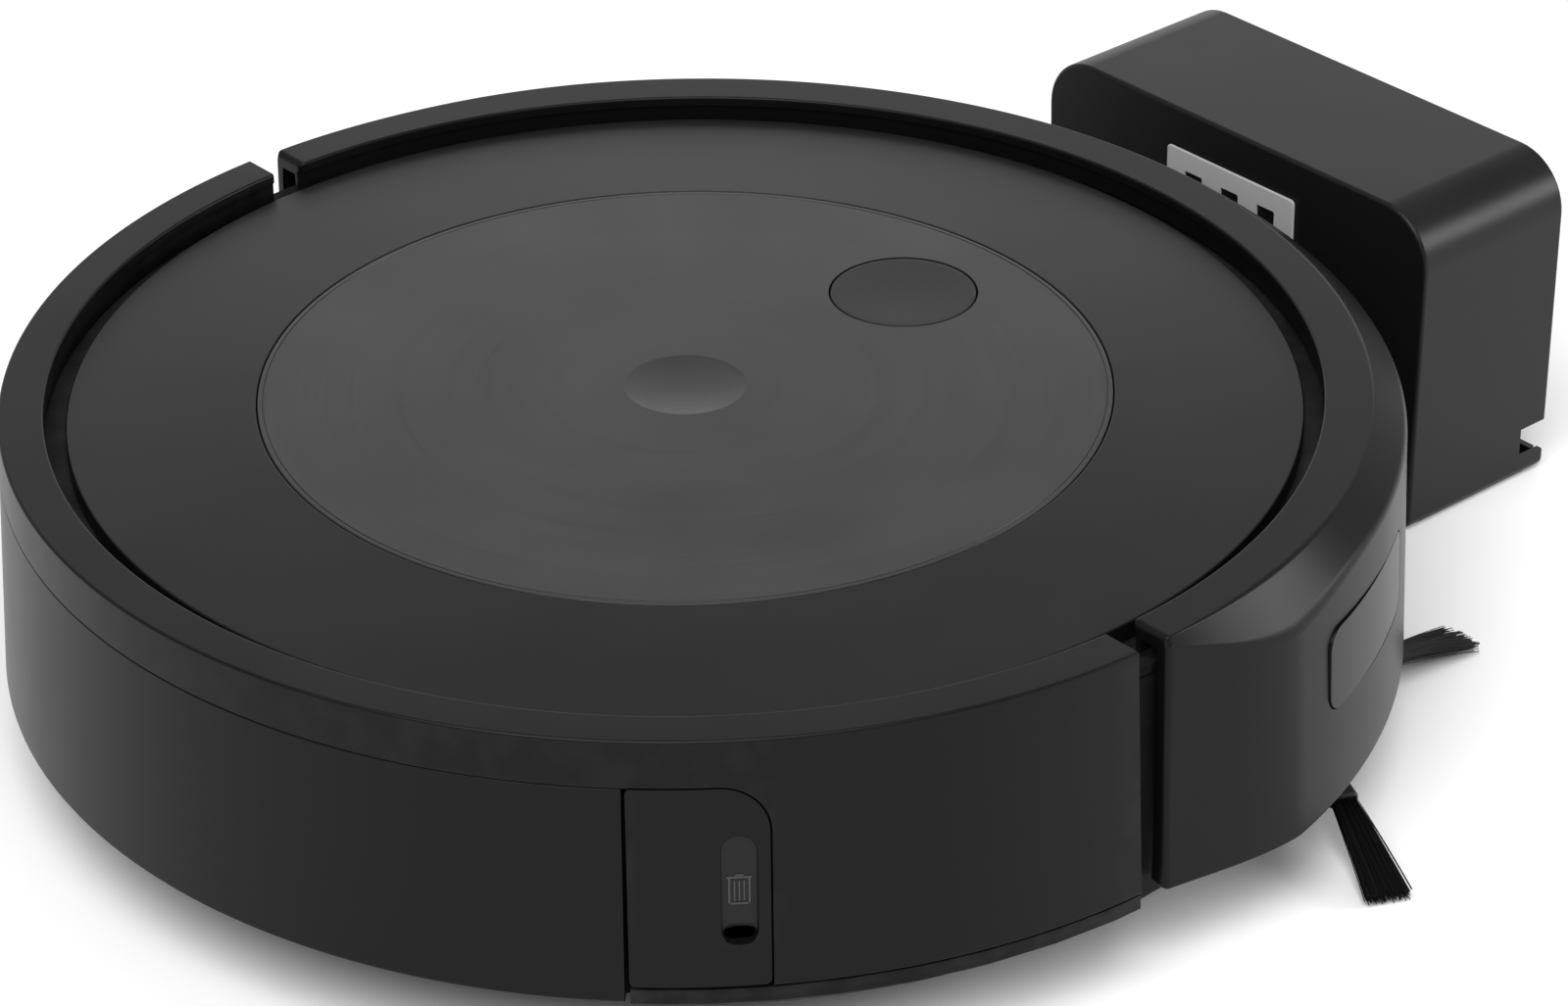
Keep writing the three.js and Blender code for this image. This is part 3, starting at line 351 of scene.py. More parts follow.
finishes = {
    "bodyBlack": mouldedPlastic("bodyBlack", 0.0035, 0.36, specular=0.15, grain=2400.0, depth=0.008,
                                wear=0.12, dust=0.01, mottle=0.12, spread=0.03),
    "lidSatin": mouldedPlastic("lidSatin", 0.004, 0.34, specular=0.2, grain=3000.0, depth=0.006, wear=0.1,
                               dust=0.01, mottle=0.1, spread=0.02),
    "discBrushed": brushedDisc("discBrushed", 0.018, 0.34, axis),
    "buttonBlack": mouldedPlastic("buttonBlack", 0.010, 0.36, specular=0.18, grain=3000.0, depth=0.006,
                                  wear=0.1, dust=0.01, spread=0.02),
    "markerGrey": mouldedPlastic("markerGrey", 0.42, 0.55, grain=1500.0, mottle=0.04, wear=0.0, dust=0.0),
    "windowGloss": mouldedPlastic("windowGloss", 0.003, 0.30, specular=0.16, grain=600.0, depth=0.003,
                                  strength=0.1, wear=0.0, dust=0.0, spread=0.02),
    # painted light: the dock is given a lighter copy of the body's black, so that its top reads as brightly
    # lit
    "dockBlackPaintedLight": mouldedPlastic("dockBlackPaintedLight", 0.006, 0.36, specular=0.2, grain=2400.0, depth=0.008, wear=0.12,
                                dust=0.01, mottle=0.12, spread=0.03),
    "signGrey": mouldedPlastic("signGrey", 0.035, 0.5, grain=2400.0, wear=0.0, dust=0.0),
    "gripGrey": mouldedPlastic("gripGrey", 0.009, 0.42, specular=0.2, grain=2400.0, depth=0.006, wear=0.0,
                               dust=0.0),
    "rollerRubber": mouldedPlastic("rollerRubber", 0.06, 0.62, specular=0.35, grain=900.0, depth=0.05,
                                   wear=0.5, dust=0.2, tint=(0.6, 1.15, 0.7)),
    "tyreRubber": mouldedPlastic("tyreRubber", 0.016, 0.78, specular=0.3, grain=700.0, depth=0.08,
                                 wear=0.6, dust=0.3),
    "casterRubber": mouldedPlastic("casterRubber", 0.02, 0.5, grain=1200.0, wear=0.7, dust=0.2),
    "brushRubber": mouldedPlastic("brushRubber", 0.015, 0.6, specular=0.35, grain=1000.0, depth=0.05,
                                  wear=0.4),
    "bristleNylon": mouldedPlastic("bristleNylon", 0.006, 0.5, specular=0.12, grain=3000.0, depth=0.01,
                                   wear=0.0, dust=0.0),
    "filterMedia": mouldedPlastic("filterMedia", 0.6, 0.9, specular=0.2, grain=1200.0, depth=0.15,
                                  strength=0.8, mottle=0.12, wear=0.0, dust=0.0, tint=(1.0, 0.99, 0.94)),
    "boardGreen": circuitBoard("boardGreen"),
    "batteryCase": mouldedPlastic("batteryCase", 0.03, 0.5, grain=1500.0, tint=(0.8, 0.95, 1.3)),
    "impellerGrey": mouldedPlastic("impellerGrey", 0.3, 0.42, grain=2000.0, mottle=0.06, dust=0.15),
    "steel": plainMetal("steel", 0.62, 0.3),
    "contactMetal": plainMetal("contactMetal", 0.78, 0.2, 500.0),
    "innerBlack": mouldedPlastic("innerBlack", 0.006, 0.55, specular=0.1, grain=1500.0, depth=0.03,
                                 dust=0.02),
}
print("finishes made")


# mesh helpers, in millimetres from the robot's middle
def fromNose(radius, heading):
    return Vector((radius * math.sin(math.radians(heading)), radius * math.cos(math.radians(heading))))


def solid(name, points, faces):
    mesh = bpy.data.meshes.new(name)
    mesh.from_pydata([tuple(p) for p in points], [], faces)
    bm = bmesh.new()
    bm.from_mesh(mesh)
    bmesh.ops.remove_doubles(bm, verts=bm.verts, dist=1e-4)
    bmesh.ops.recalc_face_normals(bm, faces=bm.faces)
    if bm.calc_volume(signed=True) < 0:
        bmesh.ops.reverse_faces(bm, faces=bm.faces)
    bm.to_mesh(mesh)
    bm.free()
    obj = bpy.data.objects.new(name, mesh)
    bpy.context.scene.collection.objects.link(obj)
    return obj


def rounded(corners, steps=4):
    # turns each (x, y, radius) corner of a closed outline into an arc
    outline = []
    count = len(corners)
    for i, (x, y, radius) in enumerate(corners):
        here = Vector((x, y))
        if radius <= 0:
            outline.append(here)
            continue
        before = Vector(corners[i - 1][:2]) - here
        after = Vector(corners[(i + 1) % count][:2]) - here
        half = before.angle(after) / 2
        reach = min(radius / math.tan(half), before.length * 0.49, after.length * 0.49)
        centre = here + (before.normalized() + after.normalized()).normalized() * reach / math.cos(half)
        start = here + before.normalized() * reach - centre
        end = here + after.normalized() * reach - centre
        sweep = start.angle_signed(end)
        for k in range(steps + 1):
            arm = start.copy()
            arm.rotate(Matrix.Rotation(-sweep * k / steps, 2))
            outline.append(centre + arm)
    return outline


def loft(name, sections, closed=False):
    # joins equal closed sections; the ends are capped unless the row closes on itself
    size = len(sections[0])
    points = [p for section in sections for p in section]
    faces = []
    rows = len(sections) if closed else len(sections) - 1
    for i in range(rows):
        near, far = i * size, (i + 1) % len(sections) * size
        for j in range(size):
            k = (j + 1) % size
            faces.append((near + j, near + k, far + k, far + j))
    if not closed:
        last = (len(sections) - 1) * size
        faces.append(tuple(range(size - 1, -1, -1)))
        faces.append(tuple(range(last, last + size)))
    return solid(name, points, faces)


def turned(name, outline, steps=256, middle=(0, 0)):
    # turns a closed (radius, height) outline about an upright axis
    sections = []
    for i in range(steps):
        turn = 2 * math.pi * i / steps
        sections.append([
            (middle[0] + r * math.sin(turn), middle[1] + r * math.cos(turn), z) for r, z in outline])
    return loft(name, sections, closed=True)


def turnedAcross(name, outline, place, steps=96):
    # turns a closed (radius, x) outline about an axis that runs sideways through place
    sections = []
    for i in range(steps):
        turn = 2 * math.pi * i / steps
        sections.append([
            (place[0] + x, place[1] + r * math.cos(turn), place[2] + r * math.sin(turn))
            for r, x in outline])
    return loft(name, sections, closed=True)


def block(name, x, y, z):
    base = [(x[0], y[0]), (x[1], y[0]), (x[1], y[1]), (x[0], y[1])]
    return loft(name, [[(px, py, h) for px, py in base] for h in z])


def prism(name, outline, low, high):
    return loft(name, [[(p[0], p[1], h) for p in outline] for h in (low, high)])


def wedge(name, start, end, radius, low, high):
    # a pie slice between two angles from the rear
    outline = [(0, 0)]
    steps = 24
    for i in range(steps + 1):
        p = fromNose(radius, 180 - (start + (end - start) * i / steps))
        outline.append((p.x, p.y))
    return prism(name, outline, low, high)


def roundedBox(width, height, corner, x=0, y=0, steps=6):
    corners = corner if isinstance(corner, (list, tuple)) else [corner] * 4
    x0, x1, y0, y1 = x - width / 2, x + width / 2, y - height / 2, y + height / 2
    outer = [(x0, y0), (x1, y0), (x1, y1), (x0, y1)]
    return rounded([(px, py, r) for (px, py), r in zip(outer, corners)], steps)


def radialPrism(name, outline, heading, near, far):
    # pushes an upright (across, height) outline outwards along a heading
    way = fromNose(1, heading)
    side = Vector((-way.y, way.x))
    return loft(name, [
        [(way.x * r + side.x * u, way.y * r + side.y * u, h) for u, h in outline] for r in (near, far)])


def settle(obj):
    # bakes the modifiers into a plain mesh
    bpy.context.view_layer.update()
    graph = bpy.context.evaluated_depsgraph_get()
    mesh = bpy.data.meshes.new_from_object(obj.evaluated_get(graph))
    obj.modifiers.clear()
    obj.data = mesh
    return obj


def combine(obj, operation, tools):
    for tool in tools:
        step = obj.modifiers.new(operation, "BOOLEAN")
        step.object = tool
        step.operation = operation
        step.solver = "MANIFOLD"
    settle(obj)
    for tool in tools:
        bpy.data.objects.remove(tool)
    if not obj.data.polygons:
        raise ValueError(obj.name + " is empty after " + operation)
    return obj


def softened(obj, width, angle=50, segments=2):
    # a small bevel on the sharp edges
    edge = obj.modifiers.new("edges", "BEVEL")
    edge.width = width
    edge.segments = segments
    edge.limit_method = "ANGLE"
    edge.angle_limit = math.radians(angle)
    return settle(obj)


def dress(obj, finish, smooth=30, weighted=True):
    obj.data.materials.clear()
    obj.data.materials.append(finishes[finish])
    obj.data.polygons.foreach_set("use_smooth", [True] * len(obj.data.polygons))
    obj.data.set_sharp_from_angle(angle=math.radians(smooth))
    if weighted:
        # big flat faces keep their own normal, so that thin triangles don't show on them
        normals = obj.modifiers.new("normals", "WEIGHTED_NORMAL")
        normals.mode = "FACE_AREA"
        normals.weight = 70
        normals.keep_sharp = True
        settle(obj)


def place(obj, body, finish, nodes=(), smooth=30, weighted=True):
    # from millimetres about the robot's middle to metres in the shared frame
    obj.data.transform(Matrix.Translation(axis) @ Matrix.Scale(mm, 4))
    dress(obj, finish, smooth, weighted)
    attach(obj, body)
    if nodes:
        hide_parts(*nodes)
    return obj


bodyOf = {node: body for body, nodes in frame["record"]["behaviour"]["bodies"].items() for node in nodes}


def refine(node, finish, name, smooth=35, bevel=0.0):
    # the node's own shape with merged corners, smooth round faces and, if wanted, broken edges
    mesh = frame["nodes"][node].data.copy()
    bm = bmesh.new()
    bm.from_mesh(mesh)
    bmesh.ops.remove_doubles(bm, verts=bm.verts, dist=1e-6)
    if bevel:
        bmesh.ops.dissolve_limit(bm, angle_limit=math.radians(0.4), verts=bm.verts, edges=bm.edges)
    bm.to_mesh(mesh)
    bm.free()
    obj = bpy.data.objects.new(name, mesh)
    bpy.context.scene.collection.objects.link(obj)
    if bevel:
        softened(obj, bevel * mm)
    dress(obj, finish, smooth)
    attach(obj, bodyOf[node])
    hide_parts(node)
    return obj


# shell of the robot
shell = dict(
    height=spot("rear_cover")[1].z, rimRadius=162.6, rimWidth=10.6, wall=2.5, flare=3.1, lip=8.2,
    skirtFoot=spot("bumper")[0].z, rearFoot=spot("rear_cover")[0].z, seam=spot("rear_cover")[1].y,
    tub=spot("base_frame")[1].y, step=2.7, stepDepth=0.5, edge=0.35, reach=210,
)
rimInner = shell["rimRadius"] - shell["rimWidth"]


def wallRadius(z):
    share = (shell["height"] - z) / (shell["height"] - shell["skirtFoot"])
    return shell["rimRadius"] + 0.1 + shell["flare"] * share


def behindSeam(name, ahead=0.0):
    reach = shell["reach"]
    return block(name, (-reach, reach), (-reach, shell["seam"] + ahead), (0, 120))


def makeRearCover():
    top, foot, wall = shell["height"], shell["rearFoot"], shell["wall"]
    lipFoot = top - shell["lip"]
    inner = rimInner + shell["stepDepth"]
    cover = turned("rearCover", rounded([
        (rimInner, top, 0.6), (wallRadius(top), top, 0.7), (wallRadius(foot), foot, 0.5),
        (wallRadius(foot) - wall, foot, 0), (wallRadius(top - 4) - wall, top - 4, 0),
        (rimInner + wall, top - 4, 0), (rimInner + wall, lipFoot, 0), (inner, lipFoot, 0.3),
        (inner, top - shell["step"], 0), (rimInner, top - shell["step"] + 0.2, 0)]))
    combine(cover, "INTERSECT", [behindSeam("cut")])
    tub = shell["tub"] + 0.6
    ends = turned("ends", [
        (tub, foot), (wallRadius(foot) - 0.4, foot), (wallRadius(top) - 0.5, top - 0.8), (tub, top - 0.8)])
    reach = shell["reach"]
    combine(ends, "INTERSECT", [
        block("end", (-reach, reach), (shell["seam"] - 2.4, shell["seam"] - 0.05), (0, 120))])
    combine(cover, "UNION", [ends])
    opening = wedge("opening", -dustBox["angle"] - 0.3, dustBox["latchAngle"] + 0.4, reach, 0,
                    dustBox["top"] + 0.3)
    outline, heading = latchOutline(latch["seam"], 30)
    combine(cover, "DIFFERENCE", [opening, radialPrism("latchOpening", outline, heading, 150, reach)])
    softened(cover, shell["edge"])
    return place(cover, "chassis", "bodyBlack", ["rear_cover"])


# bumper: rim, sloped shoulder and wall
bumper = dict(
    bulge=9.3, bulgeAngle=13, shoulder=6.3, fall=5.2, flareAngle=30, flareOut=2.2, rimOut=1.1, steps=240,
    endRound=1.6, fadeAt=79, fadeWidth=9, fadeDrop=5.5,
)


def bumperSection(heading, inset=0.0):
    swell = min(1, (90 - abs(heading)) / bumper["bulgeAngle"])
    swell = swell * swell * (3 - 2 * swell) * 0.35 + swell * 0.65
    inner = rimInner - 0.4 + inset
    top = shell["height"] - inset
    spread = min(1, (90 - abs(heading)) / bumper["flareAngle"])
    rim = shell["rimRadius"] - 0.5 + bumper["rimOut"] * spread
    foot = shell["rimRadius"] + 1.4 + bumper["bulge"] * swell
    # near its ends the shoulder reaches further down, with a soft edge, and fades into the wall
    fade = math.exp(-((abs(heading) - bumper["fadeAt"]) / bumper["fadeWidth"]) ** 2)
    edgeZ = shell["height"] - 1.1 - bumper["fall"] * swell
    edge = shell["rimRadius"] + 0.3 + bumper["flareOut"] * spread + bumper["shoulder"] * swell
    lowered = bumper["fadeDrop"] * fade
    edge += (foot - edge) * lowered / (edgeZ - shell["skirtFoot"])
    edgeZ -= lowered
    wall = shell["wall"]
    lipFoot = shell["height"] - shell["lip"] + 0.8
    low = shell["skirtFoot"] + inset
    step = shell["height"] - shell["step"]
    return rounded([
        (inner, top, 0.6), (rim - inset * 0.6, top - 0.02, 0.5 + 1.2 * swell),
        (edge - inset, edgeZ - inset * 0.4, 0.5 + 2.4 * swell + 5 * fade * swell), (foot - inset, low, 0.6),
        (foot - wall, low, 0), (edge - wall - 0.6, edgeZ - 3.4, 0), (rim - 2.5, shell["height"] - 3.8, 0),
        (inner + 2.8 - inset, shell["height"] - 3.8, 0), (inner + 2.8 - inset, lipFoot, 0),
        (inner + shell["stepDepth"], lipFoot, 0), (inner + shell["stepDepth"], step, 0),
        (inner, step + 0.2, 0),
    ], 5)


windows = {
    "side_window_right": dict(piece="sideWindowRight", heading=63.4, corner=5),
    "side_window_left": dict(piece="sideWindowLeft", heading=-63.4, corner=5),
    "front_window": dict(piece="frontWindow", heading=0, corner=12.9),
}
windowSize = {"side": (54, 21.4, 56.6), "front": (62, 26, 57)}


def windowOutline(node, grow=0.0):
    width, height, z = windowSize[node.split("_")[0]]
    return roundedBox(width + 2 * grow, height + 2 * grow, windows[node]["corner"] + grow, 0, z, 8)


def noseRadius(z):
    # the wall between the shoulder's edge and the skirt, where the bumper stands right out
    rim = shell["rimRadius"] - 0.5 + bumper["flareOut"]
    top = shell["height"] - 1.1 - bumper["fall"]
    edge = rim + 0.8 + bumper["shoulder"]
    foot = shell["rimRadius"] + 1.4 + bumper["bulge"]
    return edge + (foot - edge) * (top - z) / (top - shell["skirtFoot"])


def makeBumper():
    sections = []
    rounding = 5
    for i in range(rounding):
        bend = math.pi / 2 * i / rounding
        inset = bumper["endRound"] * (1 - math.sin(bend))
        along = math.degrees(bumper["endRound"] * (1 - math.cos(bend)) / shell["rimRadius"])
        sections.append((-90 + along, inset))
    steps = bumper["steps"]
    first = math.degrees(bumper["endRound"] / shell["rimRadius"])
    for i in range(steps + 1):
        sections.append((-90 + first + (180 - 2 * first) * i / steps, 0.0))
    sections += [(-heading, inset) for heading, inset in reversed(sections[:rounding])]
    rows = []
    for heading, inset in sections:
        way = fromNose(1, heading)
        rows.append([(way.x * p.x, way.y * p.x, p.y) for p in bumperSection(heading, inset)])
    skin = loft("bumperSkin", rows)
    ends = []
    for side in (-1, 1):
        x = sorted((side * (shell["tub"] + 1), side * (shell["rimRadius"] + 0.4)))
        ends.append(block("end", x, (1.0, 3.0), (shell["skirtFoot"] + 0.6, shell["height"] - 2)))
    combine(skin, "UNION", ends)
    holes = [radialPrism("hole", windowOutline(node, 0.35), spec["heading"], shell["tub"], shell["reach"])
             for node, spec in windows.items()]
    combine(skin, "DIFFERENCE", holes)
    place(skin, "bumper", "bodyBlack", ["bumper"])
    for node, spec in windows.items():
        pane = turned(spec["piece"], [
            (noseRadius(80) - 2, 80), (noseRadius(80), 80), (noseRadius(30), 30),
            (noseRadius(30) - 2, 30)], 360)
        outline = windowOutline(node)
        combine(pane, "INTERSECT", [
            radialPrism("outline", outline, spec["heading"], shell["tub"], shell["reach"])])
        softened(pane, 0.2, 40)
        place(pane, "bumper", "windowGloss", [node])


# dust bin, release panel and hinge pin
dustBox = dict(
    angle=55.9, latchAngle=44.8, top=spot("bin_latch")[1].z, side=111, front=spot("bin_filter")[1].y + 0.1,
    wall=2, belly=14.5, duct=(-20, 70, 28, 42), knuckle=(2.6, 37.6, 59.4),
)
pin = middleOf("latch_pin")


def makeDustBin():
    foot, top, wall = shell["skirtFoot"] + 0.3, dustBox["top"], dustBox["wall"]
    reach = shell["reach"]
    body = turned("dustBin", rounded([
        (wallRadius(foot) - 0.3, foot, 0), (wallRadius(foot), foot + 0.5, 0.3), (wallRadius(top), top, 0.3),
        (wallRadius(top) - shell["wall"], top, 0), (wallRadius(foot) - shell["wall"], foot, 0)]))
    part = wedge("part", -dustBox["angle"], dustBox["latchAngle"] - 0.2, reach, 0, 120)
    combine(body, "INTERSECT", [part])
    softened(body, shell["edge"])
    place(body, "bin", "bodyBlack", ["dust_bin"])
    belly = turned("binTray", [
        (0, dustBox["belly"]), (146, dustBox["belly"]), (156, 17.6), (wallRadius(foot) - 1.2, foot + 0.2),
        (wallRadius(top) - 1.2, top - 1), (0, top - 1)])
    side, front = dustBox["side"], dustBox["front"]
    combine(belly, "INTERSECT", [block("part", (-side - 7, side), (-reach, front), (0, 120))])
    room = turned("room", [
        (0, dustBox["belly"] + wall), (145, dustBox["belly"] + wall), (158, 24), (158, top - 1 - wall),
        (0, top - 1 - wall)])
    part = block("part", (wall - side - 7, side - wall), (-reach, front - wall), (0, 120))
    combine(room, "INTERSECT", [part])
    ears = [block("ear", (side - 3, pin.x + 2.2), (pin.y - 2.2, pin.y + 6), z)
            for z in ((34, 37), (60, 63))]
    combine(belly, "UNION", ears)
    x0, x1, z0, z1 = dustBox["duct"]
    filterLow, filterHigh = spot("bin_filter")
    filterHole = block("filterHole", (filterLow.x - 0.3, filterHigh.x + 0.3), (front - 5, front + 5),
                       (filterLow.z - 0.3, filterHigh.z + 0.3))
    bore = turned("bore", [(0, 20), (1.35, 20), (1.35, 80), (0, 80)], 24, (pin.x, pin.y))
    duct = block("duct", (x0, x1), (front - 5, front + 5), (z0, z1))
    combine(belly, "DIFFERENCE", [room, duct, filterHole, bore])
    softened(belly, shell["edge"])
    place(belly, "bin", "innerBlack")


latch = dict(
    grip=dict(angle=53.4, width=8.2, height=27.4, z=49.6, corner=4.05, depth=1.1),
    pocket=dict(angle=53.4, width=7.0, height=4.2, z=38.2, corner=2.05, depth=1.9),
    corners=[1.5, 1.5, 11, 1.2], thickness=2.4, seam=0.45,
)
# strokes of the empty-the-bin sign: across, height, width and height of each
binSign = dict(
    z=49.2, strokes=[
        (0, 3.35, 5.6, 0.42), (0, 3.9, 1.9, 0.4), (0, -3.4, 3.9, 0.4),
        (-2.2, 0, 0.4, 6.6), (2.2, 0, 0.4, 6.6),
        (-1.05, -0.1, 0.3, 5.2), (0, -0.1, 0.3, 5.2), (1.05, -0.1, 0.3, 5.2)],
    corner=0.12, height=0.16,
)


def latchOutline(grow=0.0, below=0.0):
    # the release panel as seen from outside, and its heading
    middle = (dustBox["latchAngle"] + dustBox["angle"]) / 2
    half = wallRadius(50) * math.radians(dustBox["angle"] - dustBox["latchAngle"]) / 2 - 0.35 + grow
    low, top = shell["rearFoot"] + 0.5 - grow - below, dustBox["top"] + grow
    corners = [r + grow for r in latch["corners"]]
    return roundedBox(2 * half, top - low, corners, 0, (low + top) / 2, 10), 180 - middle


def makeLatch():
    outline, heading = latchOutline()
    panel = turned("binLatch", [
        (wallRadius(20), 20), (wallRadius(90), 90),
        (wallRadius(90) - latch["thickness"], 90), (wallRadius(20) - latch["thickness"], 20)], 360)
    combine(panel, "INTERSECT", [radialPrism("outline", outline, heading, rimInner, shell["reach"])])
    softened(panel, 0.3, 40)
    for spec in (latch["grip"], latch["pocket"]):
        shape = roundedBox(spec["width"], spec["height"], spec["corner"], 0, spec["z"], 10)
        near = wallRadius(50) - spec["depth"]
        recess = radialPrism("recess", shape, 180 - spec["angle"], near, shell["reach"])
        combine(panel, "DIFFERENCE", [recess])
    size, foot, top = dustBox["knuckle"]
    knuckle = turned("knuckle", [(0, foot), (size, foot), (size, top), (0, top)], 32, (pin.x, pin.y))
    arm = fromNose(wallRadius(50) - 2, 180 - dustBox["latchAngle"] - 2.2)
    along = (Vector((pin.x, pin.y)) - arm).normalized()
    across = Vector((-along.y, along.x)) * 1.2
    ends = [arm, Vector((pin.x, pin.y))]
    web = prism("web", [ends[0] - across, ends[1] - across, ends[1] + across, ends[0] + across], foot, top)
    combine(panel, "UNION", [knuckle, web])
    bore = turned("bore", [(0, 20), (1.5, 20), (1.5, 80), (0, 80)], 24, (pin.x, pin.y))
    combine(panel, "DIFFERENCE", [bore])
    place(panel, "latch", "bodyBlack", ["bin_latch"])
    floorAt = wallRadius(50) - latch["grip"]["depth"]
    strokes = []
    for x, z, width, height in binSign["strokes"]:
        shape = roundedBox(width, height, binSign["corner"], x, binSign["z"] + z, 2)
        strokes.append(radialPrism("stroke", shape, 180 - latch["grip"]["angle"],
                                   floorAt + 0.14, floorAt + 0.14 + binSign["height"]))
    grip = latch["grip"]
    inlay = roundedBox(grip["width"] - 0.5, grip["height"] - 0.5, grip["corner"] - 0.25, 0, grip["z"], 10)
    plate = radialPrism("gripInlay", inlay, 180 - grip["angle"], floorAt - 0.3, floorAt + 0.12)
    pocket = latch["pocket"]
    hollow = roundedBox(pocket["width"] + 0.3, pocket["height"] + 0.3, pocket["corner"], 0, pocket["z"], 10)
    combine(plate, "DIFFERENCE", [radialPrism("hollow", hollow, 180 - pocket["angle"], 150, shell["reach"])])
    place(plate, "latch", "gripGrey")
    sign = strokes[0]
    sign.name = "binSign"
    combine(sign, "UNION", strokes[1:])
    place(sign, "latch", "signGrey")


# lid, disc and button
lid = dict(skirt=2.2, cone=1.6, edge=0.6, groove=(1.5, 1.1, 0.18), dimple=(14.65, 0.8), dish=0.25)


def makeLid():
    discTop = spot("lid_disc")[1].z
    foot = spot("lid_disc")[0].z
    radius = spot("lid_ring")[1].x
    disc = spot("lid_disc")[1].x
    inner = disc + 0.3
    edgeTop = discTop - lid["cone"]
    skirt = lid["skirt"]
    ring = turned("lidRing", rounded([
        (inner, discTop - 0.05, 0.35), (radius, edgeTop, lid["edge"]), (radius, foot, 0),
        (radius - skirt, foot, 0), (radius - skirt, edgeTop - 2.2, 0),
        (inner + skirt, discTop - 2.3, 0), (inner + skirt, foot, 0), (inner, foot, 0)]))
    place(ring, "chassis", "lidSatin", ["lid_ring"])

    dimple, depth = lid["dimple"]
    bowl = (dimple ** 2 + depth ** 2) / (2 * depth)
    outline = []
    for i in range(13):
        r = (dimple - 0.5) * i / 12
        outline.append((r, discTop - depth + bowl - math.sqrt(bowl ** 2 - r ** 2), 0))
    outline.append((dimple, discTop, 0.35))
    outer, inside, deep = lid["groove"]
    outline += [
        (disc - outer, discTop, 0), (disc - outer + 0.1, discTop - deep, 0),
        (disc - inside - 0.1, discTop - deep, 0), (disc - inside, discTop, 0),
        (disc, discTop, 0.35), (disc, foot, 0), (disc - skirt, foot, 0), (disc - skirt, discTop - 2.2, 0),
        (dimple + 5, discTop - 2.2, 0), (dimple + 2, discTop - depth - 2, 0), (0, discTop - depth - 2, 0)]
    plate = turned("lidDisc", rounded(outline))
    button = middleOf("clean_button")
    buttonRadius = spot("clean_button")[1].x
    hole = turned("hole", [(0, 60), (buttonRadius + 0.4, 60), (buttonRadius + 0.4, 100), (0, 100)], 128,
                  (button.x, button.y))
    combine(plate, "DIFFERENCE", [hole])
    softened(plate, 0.2, 60)
    place(plate, "chassis", "discBrushed", ["lid_disc"])

    low, high = spot("clean_button")
    dish = lid["dish"]
    shape = [(buttonRadius * i / 8 * 0.94, high.z - dish * math.cos(math.pi / 2 * i / 8), 0)
             for i in range(9)]
    shape += [(buttonRadius, high.z, 0.45), (buttonRadius, low.z, 0), (0, low.z, 0)]
    cap = turned("cleanButton", rounded(shape), 160, (button.x, button.y))
    place(cap, "button", "buttonBlack", ["clean_button"])


# charging dock
dock = dict(
    draft=1.6, corner=15, foot=2.5, drop=2.9, wall=2.4, frontRound=1.1, backRound=1.2,
    notch=((55, 90), (-9.7, 8.3), (5, 14.4)), square=(6.4, 7.9, 0.5), squareStep=13, squareDrop=9.4,
)
dockLow, dockHigh = spot("dock_housing")
dockBack = spot("dock_back_cover")[1].y


def dockOutline(inset):
    top, foot = dockHigh.z - inset, dockLow.z - dock["drop"] + inset
    half = (dockHigh.x - dockLow.x) / 2 - inset
    lower = half - dock["draft"]
    return rounded([
        (-lower, foot, max(0.4, dock["foot"] - inset)), (lower, foot, max(0.4, dock["foot"] - inset)),
        (half, top, dock["corner"] - inset), (-half, top, dock["corner"] - inset)], 12)


def acrossDock(name, rows):
    return loft(name, [[(u, y, h) for u, h in dockOutline(inset)] for y, inset in rows])


def softRows(front, radius, steps=5):
    # rows of a rounded edge, from the face inwards
    rows = []
    for i in range(steps + 1):
        bend = math.pi / 2 * i / steps
        rows.append((front + radius * (1 - math.sin(bend)), radius * (1 - math.cos(bend))))
    return rows[::-1]


def makeDock():
    front = dockLow.y
    x, y, z = dock["notch"]
    notch = dict(x=x, y=(dockBack + y[0], dockBack + y[1]), z=z)
    back = [(dockBack - (y - front), inset) for y, inset in softRows(front, dock["backRound"])]
    housing = acrossDock("dockHousing", softRows(front, dock["frontRound"]) + back[::-1])
    room = acrossDock("room", [(front + dock["wall"], dock["wall"]), (dockBack + 5, dock["wall"])])
    combine(housing, "DIFFERENCE", [room, block("notch", notch["x"], notch["y"], notch["z"])])
    place(housing, "dock", "dockBlackPaintedLight", ["dock_housing"])
    low = spot("dock_back_cover")[0].y
    inside = dock["wall"] + 0.3
    rows = [(low, inside), (dockBack - 0.9, inside), (dockBack - 0.4, inside + 0.5)]
    cover = acrossDock("dockBackCover", rows)
    combine(cover, "DIFFERENCE", [block("notch", notch["x"], notch["y"], notch["z"])])
    place(cover, "dock", "dockBlackPaintedLight", ["dock_back_cover"])

    low, high = spot("dock_marker")
    mid = (low + high) / 2
    rows = []
    for y, inset in ((high.y, 0), (low.y + 0.2, 0), (low.y, 0.2)):
        outline = roundedBox(high.x - low.x - 2 * inset, high.z - low.z - 2 * inset, 1.2, 0, mid.z)
        rows.append([(u, y, h) for u, h in outline])
    plate = loft("dockMarker", rows)
    squares = []
    for i in (-1, 0, 1):
        width, height, corner = dock["square"]
        outline = roundedBox(width, height, corner, i * dock["squareStep"], high.z - dock["squareDrop"])
        squares.append(loft("square", [[(u, y, h) for u, h in outline] for y in (low.y - 2, high.y + 2)]))
    combine(plate, "DIFFERENCE", squares)
    place(plate, "dock", "markerGrey", ["dock_marker"])


